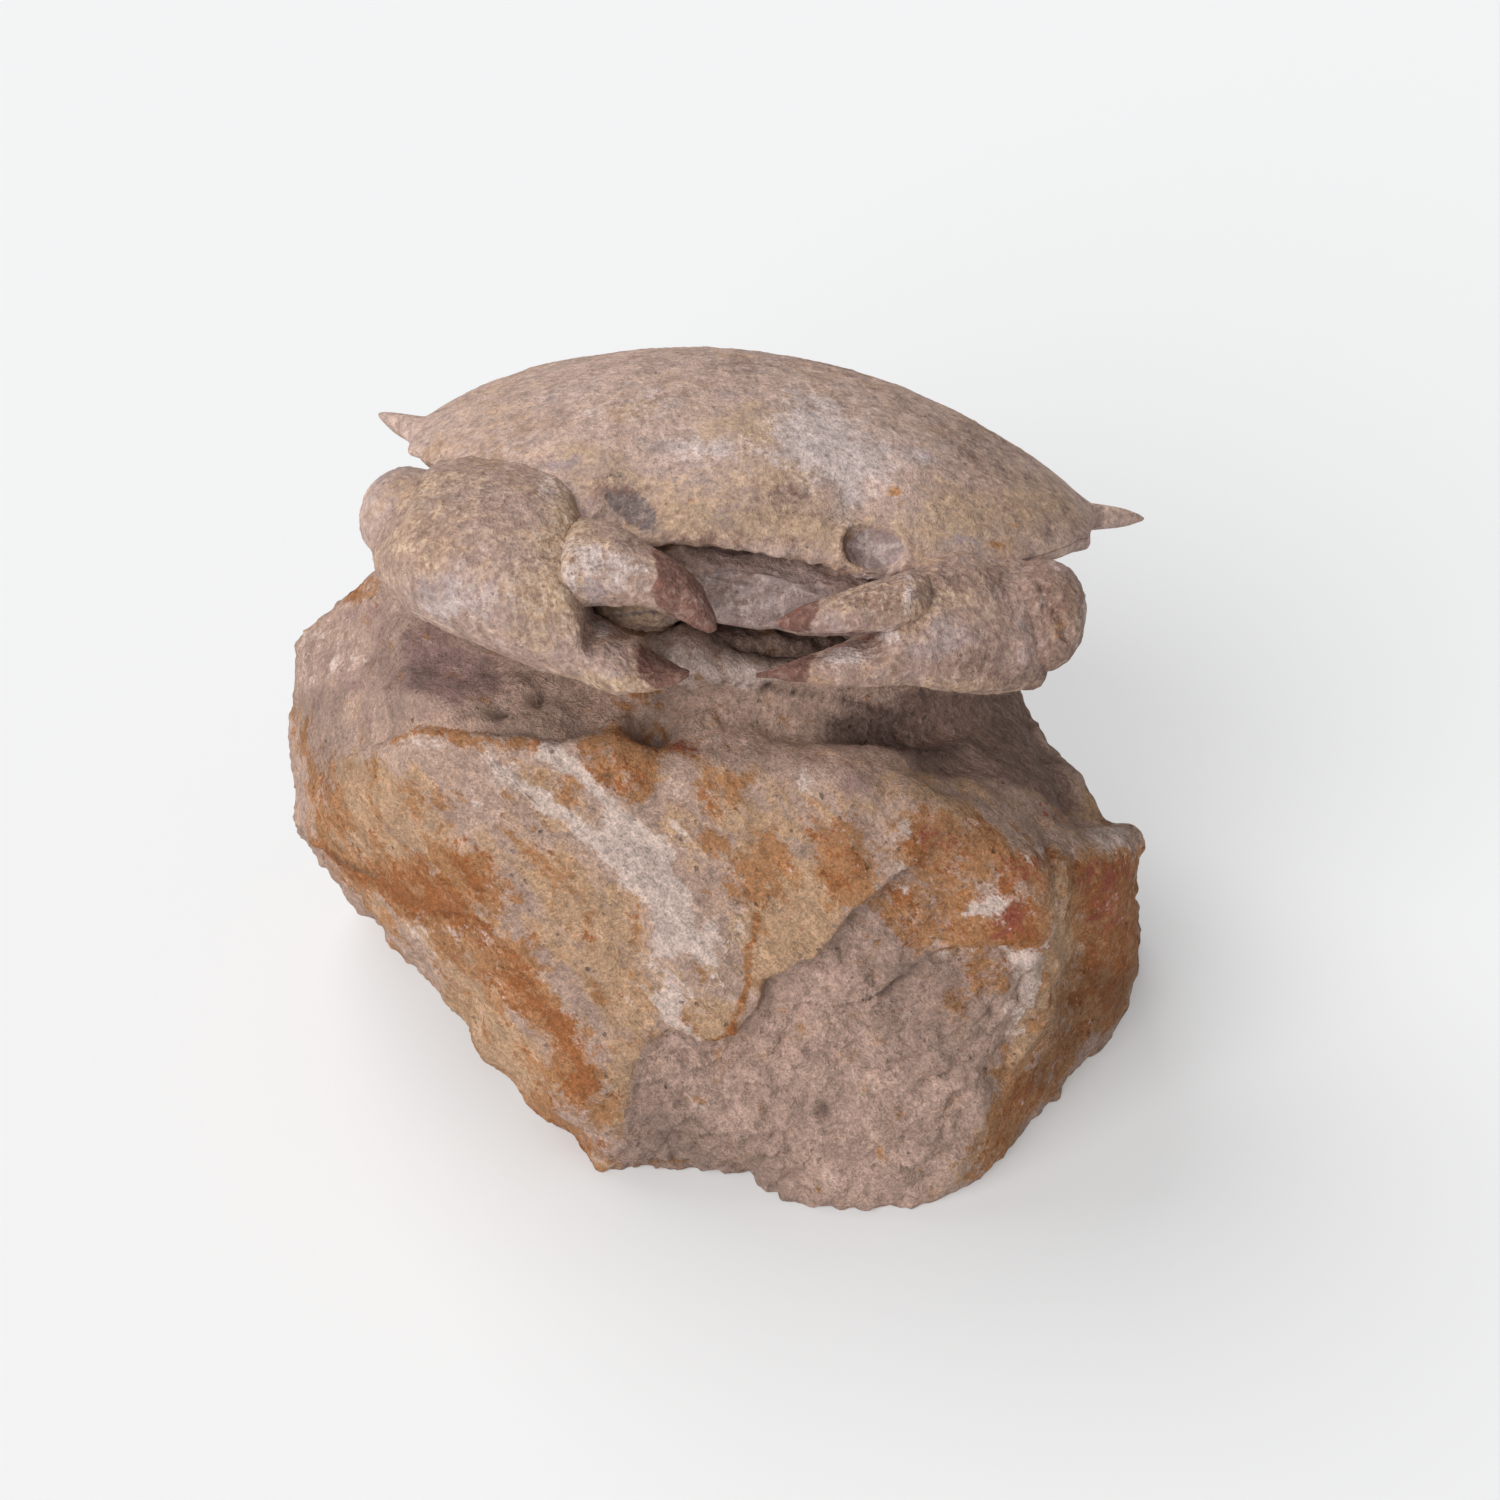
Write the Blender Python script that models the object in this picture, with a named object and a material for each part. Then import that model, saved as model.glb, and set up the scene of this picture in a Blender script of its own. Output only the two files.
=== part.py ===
"""A fossil crab, cleaned out of the stone that it formed in and still standing on it.

The stone stands in the world frame. The crab's pieces are drawn in a frame of their own, whose
x runs across the shell, y towards its tail and z out of its back, and an empty sets that frame on
the stone: nose up, a little lower on one side and turned a few degrees.
"""

import bmesh
import bpy
import numpy as np
from mathutils import Euler, Vector

# One millimetre in Blender's metres: every size below is in millimetres
MM = 0.001
# Room kept between two pieces that touch
GAP = 0.3

# The whole object's footprint is centred on the world's origin by this shift
CENTRING = Vector((-0.2, 1.9, 0.0))

# The crab's seat above the floor, and how it is turned there, in degrees
CRAB_SEAT = Vector((6.6, 8.0, 94.0))
NOSE_UP = 21.0
LEAN = 7.3
TURNED = -3.0

# The shell: half its width without spines, nose and tail from the widest line, dome and rim
SHELL_HALF_WIDTH = 53.5
SHELL_MIDDLE = 5.0
SHELL_NOSE = 41.5
SHELL_TAIL = 35.0
SHELL_DOME = 15.8
SHELL_RIM = 3.0
# Each spine: the middle of its root, how far its tip stands out, and the reach of its root
SPINES = (
    (Vector((52.6, 7.0, -1.2)), Vector((9.0, 2.2, 0.0)), 7.0),
    (Vector((-52.6, 7.0, -1.6)), Vector((-7.0, 2.6, 0.6)), 7.0),
)
# Each eye socket: its middle, its radius and its depth
SOCKETS = (
    (Vector((17.6, -34.2, -1.8)), 5.6, 2.4),
    (Vector((-18.3, -33.9, -1.4)), 5.2, 1.8),
)

# The underside of the crab between shell and stone: middle, half sizes and the mouth's swelling
FACE_MIDDLE = Vector((0.0, -3.0, -12.5))
FACE_HALF = Vector((44.0, 31.0, 9.5))
MOUTH_MIDDLE = Vector((0.0, -34.0, -12.0))
MOUTH_REACH = Vector((12.0, 8.0, 4.2))
MOUTH_SWELL = 3.5

# Claws, by stations across them: x, y, z of the middle, then half the height and half the width
BIG_PALM = (
    (-55.3, -30.0, -9.3, 2.5, 4.0),
    (-54.7, -31.0, -9.3, 5.4, 7.0),
    (-53.0, -32.5, -9.8, 8.8, 9.0),
    (-49.2, -34.0, -9.4, 11.0, 10.5),
    (-43.9, -36.0, -9.3, 12.5, 11.5),
    (-38.8, -37.5, -9.3, 13.7, 12.0),
    (-33.9, -39.5, -9.3, 14.7, 12.0),
    (-28.6, -41.5, -9.6, 15.3, 11.5),
    (-25.1, -43.0, -10.2, 15.1, 10.5),
    (-22.6, -44.0, -11.3, 14.2, 9.0),
    (-20.3, -45.0, -15.9, 9.4, 7.5),
    (-18.5, -45.5, -20.5, 4.8, 6.5),
    (-14.5, -46.5, -21.2, 3.4, 5.0),
    (-10.6, -48.0, -21.2, 2.0, 3.2),
    (-6.7, -49.0, -20.2, 0.5, 0.5),
)
BIG_FINGER = (
    (-24.9, -43.0, -8.3, 5.9, 5.0),
    (-22.9, -43.5, -7.5, 6.4, 6.5),
    (-20.3, -44.0, -7.1, 5.7, 7.0),
    (-16.4, -45.0, -7.5, 4.4, 6.5),
    (-13.1, -46.0, -8.0, 4.2, 6.0),
    (-9.6, -47.0, -8.8, 3.9, 5.0),
    (-6.7, -48.0, -10.2, 3.5, 3.8),
    (-4.9, -48.5, -11.5, 2.4, 2.2),
    (-3.8, -48.8, -12.5, 0.6, 0.5),
)
SMALL_PALM = (
    (45.6, -28.0, -12.3, 3.8, 4.0),
    (44.2, -29.0, -12.6, 8.0, 7.0),
    (40.6, -31.0, -12.4, 9.9, 9.0),
    (35.4, -34.0, -11.3, 10.7, 10.0),
    (30.7, -36.5, -10.7, 10.6, 10.0),
    (26.1, -39.0, -10.9, 9.7, 9.0),
    (23.1, -40.5, -11.8, 8.5, 8.0),
    (21.1, -41.5, -13.8, 6.3, 7.0),
    (19.9, -42.0, -16.4, 3.8, 5.5),
    (16.5, -43.5, -16.9, 3.2, 4.5),
    (12.3, -45.0, -17.7, 2.3, 3.4),
    (7.4, -46.5, -18.7, 1.3, 2.0),
    (2.6, -48.0, -19.5, 0.5, 0.5),
)
SMALL_FINGER = (
    (23.9, -40.0, -7.5, 3.7, 4.0),
    (21.5, -41.0, -7.7, 4.1, 5.0),
    (17.5, -42.5, -8.7, 3.3, 4.8),
    (13.3, -44.0, -9.7, 2.6, 4.0),
    (9.4, -45.3, -10.6, 2.1, 3.0),
    (6.4, -46.3, -11.4, 1.4, 2.0),
    (4.1, -47.0, -11.9, 0.5, 0.5),
)
# A claw's height is measured along this line, which leans a little to one side
CLAW_UPWARD = Vector((-0.13, 0.0, 0.99))
# The joints behind the claws: middle and half sizes
BIG_WRIST = (Vector((-50.0, -22.0, -8.6)), Vector((7.6, 8.5, 7.2)))
SMALL_WRIST = (Vector((44.0, -24.0, -9.9)), Vector((6.0, 8.5, 7.9)))
SMALL_ARM = (Vector((43.6, -25.5, -18.0)), Vector((3.4, 5.0, 4.2)))

# The stone's broken faces: the way each looks, and its distance from the stone's heart
STONE_HEART = Vector((0.0, 0.0, 40.0))
STONE_FACES = {
    "floor": ((0.0, 0.0, -1.0), 46.0),
    "left shelf": ((0.10, -0.03, 0.99), 35.9),
    "right slope": ((0.57, -0.05, 0.82), 41.5),
    "front": ((-0.08, -0.96, 0.23), 48.5),
    "front foot": ((-0.25, -0.88, -0.40), 61.0),
    "front left": ((-0.62, -0.76, -0.10), 55.0),
    "left undercut": ((-0.72, -0.46, -0.52), 58.5),
    "left brow": ((-0.82, -0.20, 0.45), 63.0),
    "left": ((-0.98, -0.10, 0.10), 70.5),
    "left back shoulder": ((-0.50, 0.56, 0.66), 54.0),
    "right front": ((0.74, -0.66, -0.03), 68.0),
    "right lobe": ((0.97, -0.22, -0.10), 73.0),
    "right undercut": ((0.70, -0.45, -0.55), 77.0),
    "right back": ((0.80, 0.47, 0.37), 49.0),
    "back": ((0.05, 0.99, 0.10), 50.0),
    "left back": ((-0.70, 0.70, 0.0), 58.0),
    "back top": ((0.05, 0.55, 0.83), 40.0),
}
STONE_SHARPNESS = 22
# The post that carries the crab: its top lies this far under the shell's rim, and its sides stand
# around the same heart
POST_TOP = -20.0
POST_FACES = {
    "left": ((-0.95, 0.0, 0.30), 41.0),
    "right": ((0.97, 0.0, 0.22), 45.5),
    "front": ((-0.10, -0.95, 0.30), 38.5),
    "back": ((0.0, 0.97, 0.25), 36.0),
    "front left": ((-0.70, -0.66, 0.27), 39.0),
    "front right": ((0.65, -0.70, 0.30), 45.0),
    "foot": ((0.0, 0.0, -1.0), 5.0),
}
POST_SHARPNESS = 24
JOIN_SHARPNESS = 40
# Unevenness of the stone's surface: three waves, each with its spacing and its height
STONE_WAVES = ((31.0, 1.1), (17.0, 0.7), (9.0, 0.35))

SHELL_STEPS = (15, 60)
STONE_STEPS = (30, 60)
PALM_STEPS = (22, 14)
FINGER_STEPS = (12, 10)
KNOB_STEPS = (9, 12)
FACE_STEPS = (14, 26)


def unit(vector):
    """The same direction at length 1, for one vector or an array of them."""
    vector = np.asarray(vector, float)
    return vector / np.linalg.norm(vector, axis=-1, keepdims=True)


def crab_turn():
    """The rotation that sets the crab's frame on the stone."""
    angles = (np.radians(-NOSE_UP), np.radians(LEAN), np.radians(TURNED))
    return Euler(angles, "XYZ")


def signed_power(values, power):
    """Power of the size of each value, with its sign kept: it squares a circle's sine and cosine."""
    return np.sign(values) * np.abs(values) ** power


def smooth_through(stops, steps):
    """Points evenly along a smooth curve through the stops, a Catmull-Rom spline."""
    stops = np.array(stops)
    last = len(stops) - 1
    padded = np.vstack([2 * stops[0] - stops[1], stops, 2 * stops[-1] - stops[-2]])
    place = np.linspace(0, last, steps)
    index = np.minimum(place.astype(int), last - 1)
    part = (place - index)[:, None]
    a, b, c, d = (padded[index + k] for k in range(4))
    cubic = 3 * b - a - 3 * c + d
    return 0.5 * (2 * b + (c - a) * part + (2 * a - 5 * b + 4 * c - d) * part**2 + cubic * part**3)


def claw_rings(stations, steps, squareness=2.3):
    """Rounded upright sections set across a claw, through its stations."""
    rows, columns = steps
    points = smooth_through(stations, rows)
    turn = np.linspace(0, 2 * np.pi, columns, endpoint=False)
    high = points[:, 3, None] * signed_power(np.cos(turn), 2 / squareness)
    deep = points[:, 4, None] * signed_power(np.sin(turn), 2 / squareness)
    rings = points[:, None, :3] + high[..., None] * np.array(CLAW_UPWARD)
    rings[..., 1] += deep
    return rings


def knob_rings(middle, half, steps, squareness=2.2):
    """A rounded block about its middle, as rings from its tail end to its nose end."""
    rows, columns = steps
    down = np.linspace(0.12, np.pi - 0.12, rows)[:, None]
    turn = np.linspace(0, 2 * np.pi, columns, endpoint=False)[None, :]
    ball = np.stack(
        [np.sin(down) * np.cos(turn), np.cos(down) + 0 * turn, np.sin(down) * np.sin(turn)], -1
    )
    return np.array(middle) + signed_power(ball, 2 / squareness) * np.array(half)


def face_rings():
    """The crab's underside: a squared block from side to side, swollen where the mouth is."""
    rows, columns = FACE_STEPS
    down = np.linspace(0.08, np.pi - 0.08, rows)[:, None]
    turn = np.linspace(0, 2 * np.pi, columns, endpoint=False)[None, :]
    ball = np.stack(
        [np.cos(down) + 0 * turn, np.sin(down) * np.cos(turn), np.sin(down) * np.sin(turn)], -1
    )
    rings = np.array(FACE_MIDDLE) + signed_power(ball, 2 / 3.2) * np.array(FACE_HALF)
    apart = (((rings - np.array(MOUTH_MIDDLE)) / np.array(MOUTH_REACH)) ** 2).sum(-1)
    rings[..., 1] -= MOUTH_SWELL * np.exp(-apart)
    return rings


def shell_edge(turn):
    """The shell's outline: a rounded square of half widths, longer at the nose, with its dip."""
    c, s = np.cos(turn), np.sin(turn)
    squareness = np.where(s < 0, 2.25, 2.0)
    reach = (np.abs(c) ** squareness + np.abs(s) ** squareness) ** (-1 / squareness)
    x = SHELL_HALF_WIDTH * c * reach
    y = SHELL_MIDDLE + np.where(s < 0, SHELL_NOSE, SHELL_TAIL) * s * reach
    brow = np.exp(-(((np.abs(x) - 18.0) / 5.5) ** 2)) * (s < 0)
    z = -1.0 - 3.0 * np.clip(-s, 0, 1) ** 2 - 4.5 * np.clip(s, 0, 1) ** 2 - 2.2 * brow
    return np.stack([x, y, z], -1)


def shell_rings():
    """The shell from the top of its dome, over its rim and back to the middle underneath."""
    rows, columns = SHELL_STEPS
    even = np.linspace(0, 2 * np.pi, columns, endpoint=False)
    edge = shell_edge(even - 0.25 * np.sin(2 * even))
    middle = np.array([0.0, SHELL_MIDDLE, 0.0])
    rings = []
    for step in np.linspace(0, 1, rows + 1)[1:]:
        out = np.sin(np.pi / 2 * step)
        ring = middle + (edge - middle) * out
        ring[:, 2] = edge[:, 2] * out**3 + SHELL_DOME * (1 - out**2) ** 0.75
        rings.append(ring)
    for inset, drop in ((0.99, 0.7), (0.965, 1.0), (0.75, 1.0), (0.4, 1.0), (0.1, 1.0)):
        ring = middle + (edge - middle) * inset
        ring[:, 2] = (edge[:, 2] - SHELL_RIM * drop) * inset**2 - 4.6 * (1 - inset**2)
        rings.append(ring)
    rings = np.array(rings)
    for root, reach, size in SPINES:
        near = np.clip(1 - np.linalg.norm(rings - np.array(root), axis=-1) / size, 0, 1)
        rings = rings + (near**1.6)[..., None] * np.array(reach)
    inward = unit((0.0, 0.86, -0.5))
    for centre, radius, depth in SOCKETS:
        near = np.clip(1 - np.linalg.norm(rings - np.array(centre), axis=-1) / radius, 0, 1)
        rings = rings + (depth * near**0.6)[..., None] * inward
    return rings


def block_reach(directions, faces, sharpness):
    """How far a block of flat faces reaches each way: where the nearest face cuts that way.

    The faces' shares are added as a high power, which rounds the edges between them a little.
    """
    normals = unit([normal for normal, _ in faces])
    distances = np.array([distance for _, distance in faces])
    shares = np.maximum(directions @ normals.T, 0) / distances
    return (shares**sharpness).sum(-1) ** (-1 / sharpness)


def stone_rings():
    """The stone from its top to its floor: two blocks of broken faces joined, then made uneven."""
    rows, columns = STONE_STEPS
    heart = np.array(STONE_HEART)
    down = np.linspace(0.06, np.pi - 0.25, rows)[:, None]
    turn = np.linspace(0, 2 * np.pi, columns, endpoint=False)[None, :]
    ways = np.stack(
        [np.sin(down) * np.cos(turn), np.sin(down) * np.sin(turn), np.cos(down) + 0 * turn], -1
    )
    top_way = np.array(crab_turn().to_matrix() @ Vector((0, 0, 1)))
    top = (top_way, top_way @ np.array(CRAB_SEAT - STONE_HEART) + POST_TOP)
    block = block_reach(ways, list(STONE_FACES.values()), STONE_SHARPNESS)
    post = block_reach(ways, [top, *POST_FACES.values()], POST_SHARPNESS)
    reach = (block**JOIN_SHARPNESS + post**JOIN_SHARPNESS) ** (1 / JOIN_SHARPNESS)
    rings = heart + reach[..., None] * ways
    for spacing, height in STONE_WAVES:
        x, y, z = (rings / spacing * 2 * np.pi).transpose(2, 0, 1)
        wave = np.sin(x + 0.6 * z + spacing) * np.sin(y - 0.4 * x) * np.cos(0.8 * z + 0.3 * y)
        rings = rings + (height * wave)[..., None] * ways
    rings[..., 2] = np.maximum(rings[..., 2], 0)
    rings[-1, :, 2] = 0
    return rings


def solid_from_rings(name, rings, material):
    """One closed body: each ring is joined to the next by a band of faces, and the ends are filled."""
    bm = bmesh.new()
    rows = [[bm.verts.new(Vector(point) * MM) for point in ring] for ring in rings]
    for upper, lower in zip(rows, rows[1:]):
        for i in range(len(upper)):
            bm.faces.new((upper[i - 1], upper[i], lower[i], lower[i - 1]))
    bm.faces.new(rows[0])
    bm.faces.new(rows[-1])
    bmesh.ops.recalc_face_normals(bm, faces=bm.faces)
    mesh = bpy.data.meshes.new(name)
    bm.to_mesh(mesh)
    bm.free()
    mesh.shade_smooth()
    mesh.materials.append(material)
    piece = bpy.data.objects.new(name, mesh)
    bpy.context.scene.collection.objects.link(piece)
    return piece


def finish(name, colour, roughness):
    """A plain matt material."""
    material = bpy.data.materials.new(name)
    material.use_nodes = True
    shader = material.node_tree.nodes["Principled BSDF"]
    shader.inputs["Base Color"].default_value = (*colour, 1.0)
    shader.inputs["Roughness"].default_value = roughness
    shader.inputs["Metallic"].default_value = 0.0
    return material


def room_for(piece):
    """A hidden copy of a piece, swollen by the gap, that cuts room for it out of its neighbours."""
    cutter = piece.copy()
    cutter.name = piece.name + "_room"
    cutter.hide_render = True
    cutter.display_type = "WIRE"
    bpy.context.scene.collection.objects.link(cutter)
    swell = cutter.modifiers.new("gap", "DISPLACE")
    swell.mid_level = 0.0
    swell.strength = GAP * MM
    return cutter


def cut_room(piece, neighbours):
    """Takes each neighbour's room out of a piece, so that the two fit without touching."""
    for cutter in neighbours:
        cut = piece.modifiers.new("room for " + cutter.name, "BOOLEAN")
        cut.operation = "DIFFERENCE"
        cut.solver = "EXACT"
        cut.object = cutter


def clear_scene():
    """Takes the startup scene's objects away."""
    for old in list(bpy.data.objects):
        bpy.data.objects.remove(old, do_unlink=True)


def build_crab():
    """The crab's nine pieces by name, on the empty that sets them on the stone."""
    shell = finish("fossil shell", (0.50, 0.40, 0.34), 0.75)
    claw = finish("fossil claw", (0.52, 0.42, 0.31), 0.75)
    fingertip = finish("dark fingertip", (0.24, 0.13, 0.10), 0.6)
    joint = finish("pale joint", (0.55, 0.46, 0.41), 0.75)
    underside = finish("fossil underside", (0.36, 0.30, 0.27), 0.8)
    rings = {
        "carapace": (shell_rings(), shell),
        "face": (face_rings(), underside),
        "big_claw_palm": (claw_rings(BIG_PALM, PALM_STEPS), claw),
        "big_claw_finger": (claw_rings(BIG_FINGER, FINGER_STEPS), fingertip),
        "big_claw_wrist": (knob_rings(*BIG_WRIST, KNOB_STEPS), joint),
        "small_claw_palm": (claw_rings(SMALL_PALM, PALM_STEPS), claw),
        "small_claw_finger": (claw_rings(SMALL_FINGER, FINGER_STEPS), fingertip),
        "small_claw_wrist": (knob_rings(*SMALL_WRIST, KNOB_STEPS), joint),
        "small_claw_arm": (knob_rings(*SMALL_ARM, KNOB_STEPS), joint),
    }
    seat = bpy.data.objects.new("crab_seat", None)
    bpy.context.scene.collection.objects.link(seat)
    seat.location = (CRAB_SEAT + CENTRING) * MM
    seat.rotation_euler = crab_turn()
    pieces = {}
    for name, (piece_rings, material) in rings.items():
        pieces[name] = solid_from_rings(name, piece_rings, material)
        pieces[name].parent = seat
    return pieces


def main():
    """The crab's pieces, the stone under them, and the gap between all of them."""
    clear_scene()
    pieces = build_crab()
    rock = finish("iron-stained stone", (0.42, 0.27, 0.17), 0.85)
    stone = solid_from_rings("matrix_stone", stone_rings(), rock)
    stone.location = CENTRING * MM
    bpy.context.view_layer.update()
    rooms = {name: room_for(piece) for name, piece in pieces.items()}
    carapace, face = rooms["carapace"], rooms["face"]
    big_palm, big_finger, big_wrist = (rooms["big_claw_" + part] for part in ("palm", "finger", "wrist"))
    small_palm, small_finger, small_wrist, small_arm = (
        rooms["small_claw_" + part] for part in ("palm", "finger", "wrist", "arm")
    )
    cut_room(pieces["big_claw_palm"], [carapace])
    cut_room(pieces["small_claw_palm"], [carapace])
    cut_room(pieces["big_claw_finger"], [big_palm, carapace])
    cut_room(pieces["small_claw_finger"], [small_palm, carapace])
    cut_room(pieces["big_claw_wrist"], [big_palm, carapace])
    cut_room(pieces["small_claw_wrist"], [small_palm, carapace])
    cut_room(pieces["small_claw_arm"], [small_palm, small_wrist])
    claws = [big_palm, big_finger, big_wrist, small_palm, small_finger, small_wrist, small_arm]
    cut_room(pieces["face"], [carapace, *claws])
    cut_room(stone, [face, *claws])


main()
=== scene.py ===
"""The looks of a fossil crab that stands on the stone it formed in.

Every piece is a surface worked out in millimetres and then put into a mesh in metres. The crab's
pieces are drawn in the crab's own frame, whose x runs across the shell, y towards its tail and z
out of its back, and are then set on the stone. Marks that the photograph shows are placed by where
they are seen in it, through the same camera that the scene is rendered with.
"""

import bpy
import numpy as np
from mathutils import Euler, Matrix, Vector


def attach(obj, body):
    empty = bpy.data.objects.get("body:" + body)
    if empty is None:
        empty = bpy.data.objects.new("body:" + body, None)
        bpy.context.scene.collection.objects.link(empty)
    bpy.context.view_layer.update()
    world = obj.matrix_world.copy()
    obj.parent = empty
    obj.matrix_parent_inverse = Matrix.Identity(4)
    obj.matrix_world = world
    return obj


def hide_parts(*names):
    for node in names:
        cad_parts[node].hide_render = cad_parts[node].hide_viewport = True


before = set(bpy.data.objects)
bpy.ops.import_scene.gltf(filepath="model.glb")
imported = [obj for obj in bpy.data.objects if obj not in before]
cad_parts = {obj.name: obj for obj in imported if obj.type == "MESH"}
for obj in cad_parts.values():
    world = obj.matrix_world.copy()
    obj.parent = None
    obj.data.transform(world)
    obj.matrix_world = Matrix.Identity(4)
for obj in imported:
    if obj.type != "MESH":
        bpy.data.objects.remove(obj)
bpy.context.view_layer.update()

# One millimetre in Blender's metres: every size below is in millimetres
MM = 0.001

# The camera: where it looks, how far away it stands, how steeply it looks down, and its lens
LOOKS_AT = np.array([5.3, 1.9, 45.0])
CAMERA_DISTANCE = 566.7
CAMERA_STEEPNESS = np.radians(38.0)
LENS = 85.0
SENSOR = 36.0
PHOTO_SIDE = 1500

# The crab's seat on the stone, and how it is turned there
CENTRING = np.array([-0.2, 1.9, 0.0])
CRAB_SEAT = np.array([6.6, 8.0, 94.0])
NOSE_UP = 21.0
LEAN = 7.3
TURNED = -3.0
CRAB_TURN = np.array(Euler(np.radians((-NOSE_UP, LEAN, TURNED)), "XYZ").to_matrix())

# The floor's colour, its own faint glow, its half width in metres and how far it lies under the
# stone, then the strength of the even light all round
FLOOR_PALENESS = (0.624, 0.629, 0.634)
FLOOR_GLOW = 0.225
FLOOR_HALF = 3.0
FLOOR_DROP = 0.05
SURROUND = 0.29

# The lamps: the way to each, its strength, and how many degrees of the sky it fills
LIGHTS = (
    ("key", (-0.46, -0.72, 0.54), 2.45, 49),
    ("back", (-0.5, 0.45, 0.85), 1.5, 44),
)

# The shell: half its width without spines, its middle, how far nose and tail lie from that, the
# dome's height and the power it falls by, how deep the rim is and how far it draws in below, and
# how low the underside lies at the middle
SHELL_HALF_WIDTH = 53.5
SHELL_MIDDLE = 5.0
SHELL_NOSE = 41.5
SHELL_TAIL = 35.0
SHELL_DOME = 15.8
DOME_POWER = 0.78
SHELL_RIM = 3.0
RIM_INSET = 0.045
SHELL_HOLLOW = 4.6

# Its edge: how square it is towards the nose, how low it lies, how much lower at nose and tail,
# and a dip over each eye, by a depth about a place across and over a width
NOSE_SQUARENESS = 2.25
EDGE_DROP = 1.0
NOSE_DROP = 3.0
TAIL_DROP = 4.5
BROW_DIP = (2.2, 18.0, 5.5)

# The shell's left end hangs lower, and its rim thins towards the nose and the left end
LEFT_DROOP = 2.3
RIM_THINNING = (0.66, 0.55)

# Its right shoulder sags, by a depth about a place across and over a width, and its right end is
# drawn in, by a depth that grows from one place across to another
RIGHT_SAG = (0.7, 38.0, 18.0)
RIGHT_DRAW_IN = (0.9, 20.0, 53.0)

# The side spines: root, reach, half width and bluntness, and the size and share of their flare
SPINES = (
    ((52.0, 4.6, -2.0), (9.5, 2.2, 0.6), 2.2, 0.8),
    ((-52.4, 3.4, -2.4), (-6.6, 3.0, 1.0), 2.6, 1.5),
)
SPINE_FLARE = 5.5
SPINE_FLARE_SHARE = 0.28

# Teeth on the rim: root, reach and size, and the power of nearness that draws them out
TOOTH_POWER = 1.7
TEETH = (
    ((49.4, -8.6, -2.8), (2.0, -1.0, -0.3), 3.4),
    ((-51.5, -5.5, -4.2), (-1.2, -0.8, 0.0), 3.5),
    ((-9.0, -36.0, -4.5), (0.0, -1.0, 0.3), 2.6),
    ((-3.5, -36.4, -4.4), (0.0, -0.8, 0.4), 2.2),
    ((4.5, -36.4, -4.4), (0.0, -1.0, 0.2), 2.4),
    ((11.5, -36.0, -5.0), (0.0, -0.8, 0.0), 2.4),
)

# The eye sockets: middle, half width and half height, depth, and height of the lip
RIGHT_SOCKET = ((17.4, -33.1, -2.4), (4.5, 3.3), 2.8, 0.4)
LEFT_SOCKET = ((-18.0, -32.3, -1.7), (4.3, 3.6), 0.7, 0.0)

# The way both are pressed in and how far along it they are felt, how square their outline is, the
# power of the bowl, and where its lip stands and how wide it is, in half widths
SOCKET_INWARD = (-0.05, 0.80, -0.60)
SOCKET_REACH = 7.0
SOCKET_SQUARENESS = 2.7
BOWL_POWER = 0.45
LIP_PLACE = 1.12
LIP_WIDTH = 0.16

# Angles round the shell where its columns crowd, how wide each crowd is, and how dense
SHELL_CROWDS = (
    (0.03, 0.09, 5.0),
    (3.11, 0.09, 5.0),
    (5.08, 0.16, 2.6),
    (4.34, 0.16, 2.0),
    (4.71, 0.85, 1.0),
)

# The underside between shell and stone: its middle, its half sizes and how square it is
FACE_MIDDLE = (0.0, -3.0, -12.5)
FACE_HALF = (44.0, 31.0, 9.5)
FACE_SQUARENESS = 3.2

# Its hollow under the shell's edge: where it starts and how far it goes on widening, its depth for
# each millimetre of that, and its line and half height, both with what a millimetre adds
HOLLOW_START = -5.0
HOLLOW_SPAN = 25.0
HOLLOW_DEPTH = 0.035
HOLLOW_LINE = (6.0, 0.14)
HOLLOW_HALF = (1.6, 0.09)

# The dark gap under its mouth: how far it is cut back, and where it begins below, left and right
GAP_DEPTH = 8.0
GAP_BELOW = (16.2, 19.6)
GAP_LEFT = (-12.0, -7.0)
GAP_RIGHT = (21.0, 26.0)

# Each part of a claw by stations from end to end: the middle, half the height and half the depth
BIG_PALM = (
    (-55.0, -28.5, -13.0, 0.6, 2.0),
    (-54.4, -29.0, -13.0, 2.6, 4.5),
    (-53.2, -30.5, -12.6, 5.0, 7.0),
    (-50.6, -32.5, -11.2, 8.2, 9.5),
    (-47.0, -34.5, -10.0, 11.0, 11.0),
    (-43.0, -36.0, -9.5, 12.5, 12.0),
    (-38.0, -37.5, -9.4, 13.7, 12.4),
    (-33.0, -39.0, -9.6, 14.6, 12.0),
    (-28.6, -40.2, -10.1, 14.8, 11.0),
    (-26.4, -40.9, -10.7, 14.3, 10.5),
    (-24.9, -41.4, -11.5, 13.4, 9.9),
    (-23.8, -41.8, -12.8, 12.1, 9.2),
    (-22.9, -42.1, -15.2, 9.7, 8.3),
    (-22.1, -42.5, -18.6, 6.5, 7.4),
    (-20.8, -43.2, -20.2, 5.0, 6.9),
    (-19.0, -44.0, -20.6, 4.7, 6.8),
    (-17.2, -44.8, -21.1, 4.2, 6.4),
    (-15.6, -45.4, -21.4, 3.5, 5.8),
    (-14.0, -46.0, -21.5, 3.0, 5.2),
    (-12.4, -46.7, -21.5, 2.5, 4.3),
    (-10.4, -47.4, -21.4, 1.9, 3.2),
    (-8.4, -48.2, -20.9, 1.1, 2.0),
    (-6.8, -48.8, -20.3, 0.4, 0.5),
)

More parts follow.
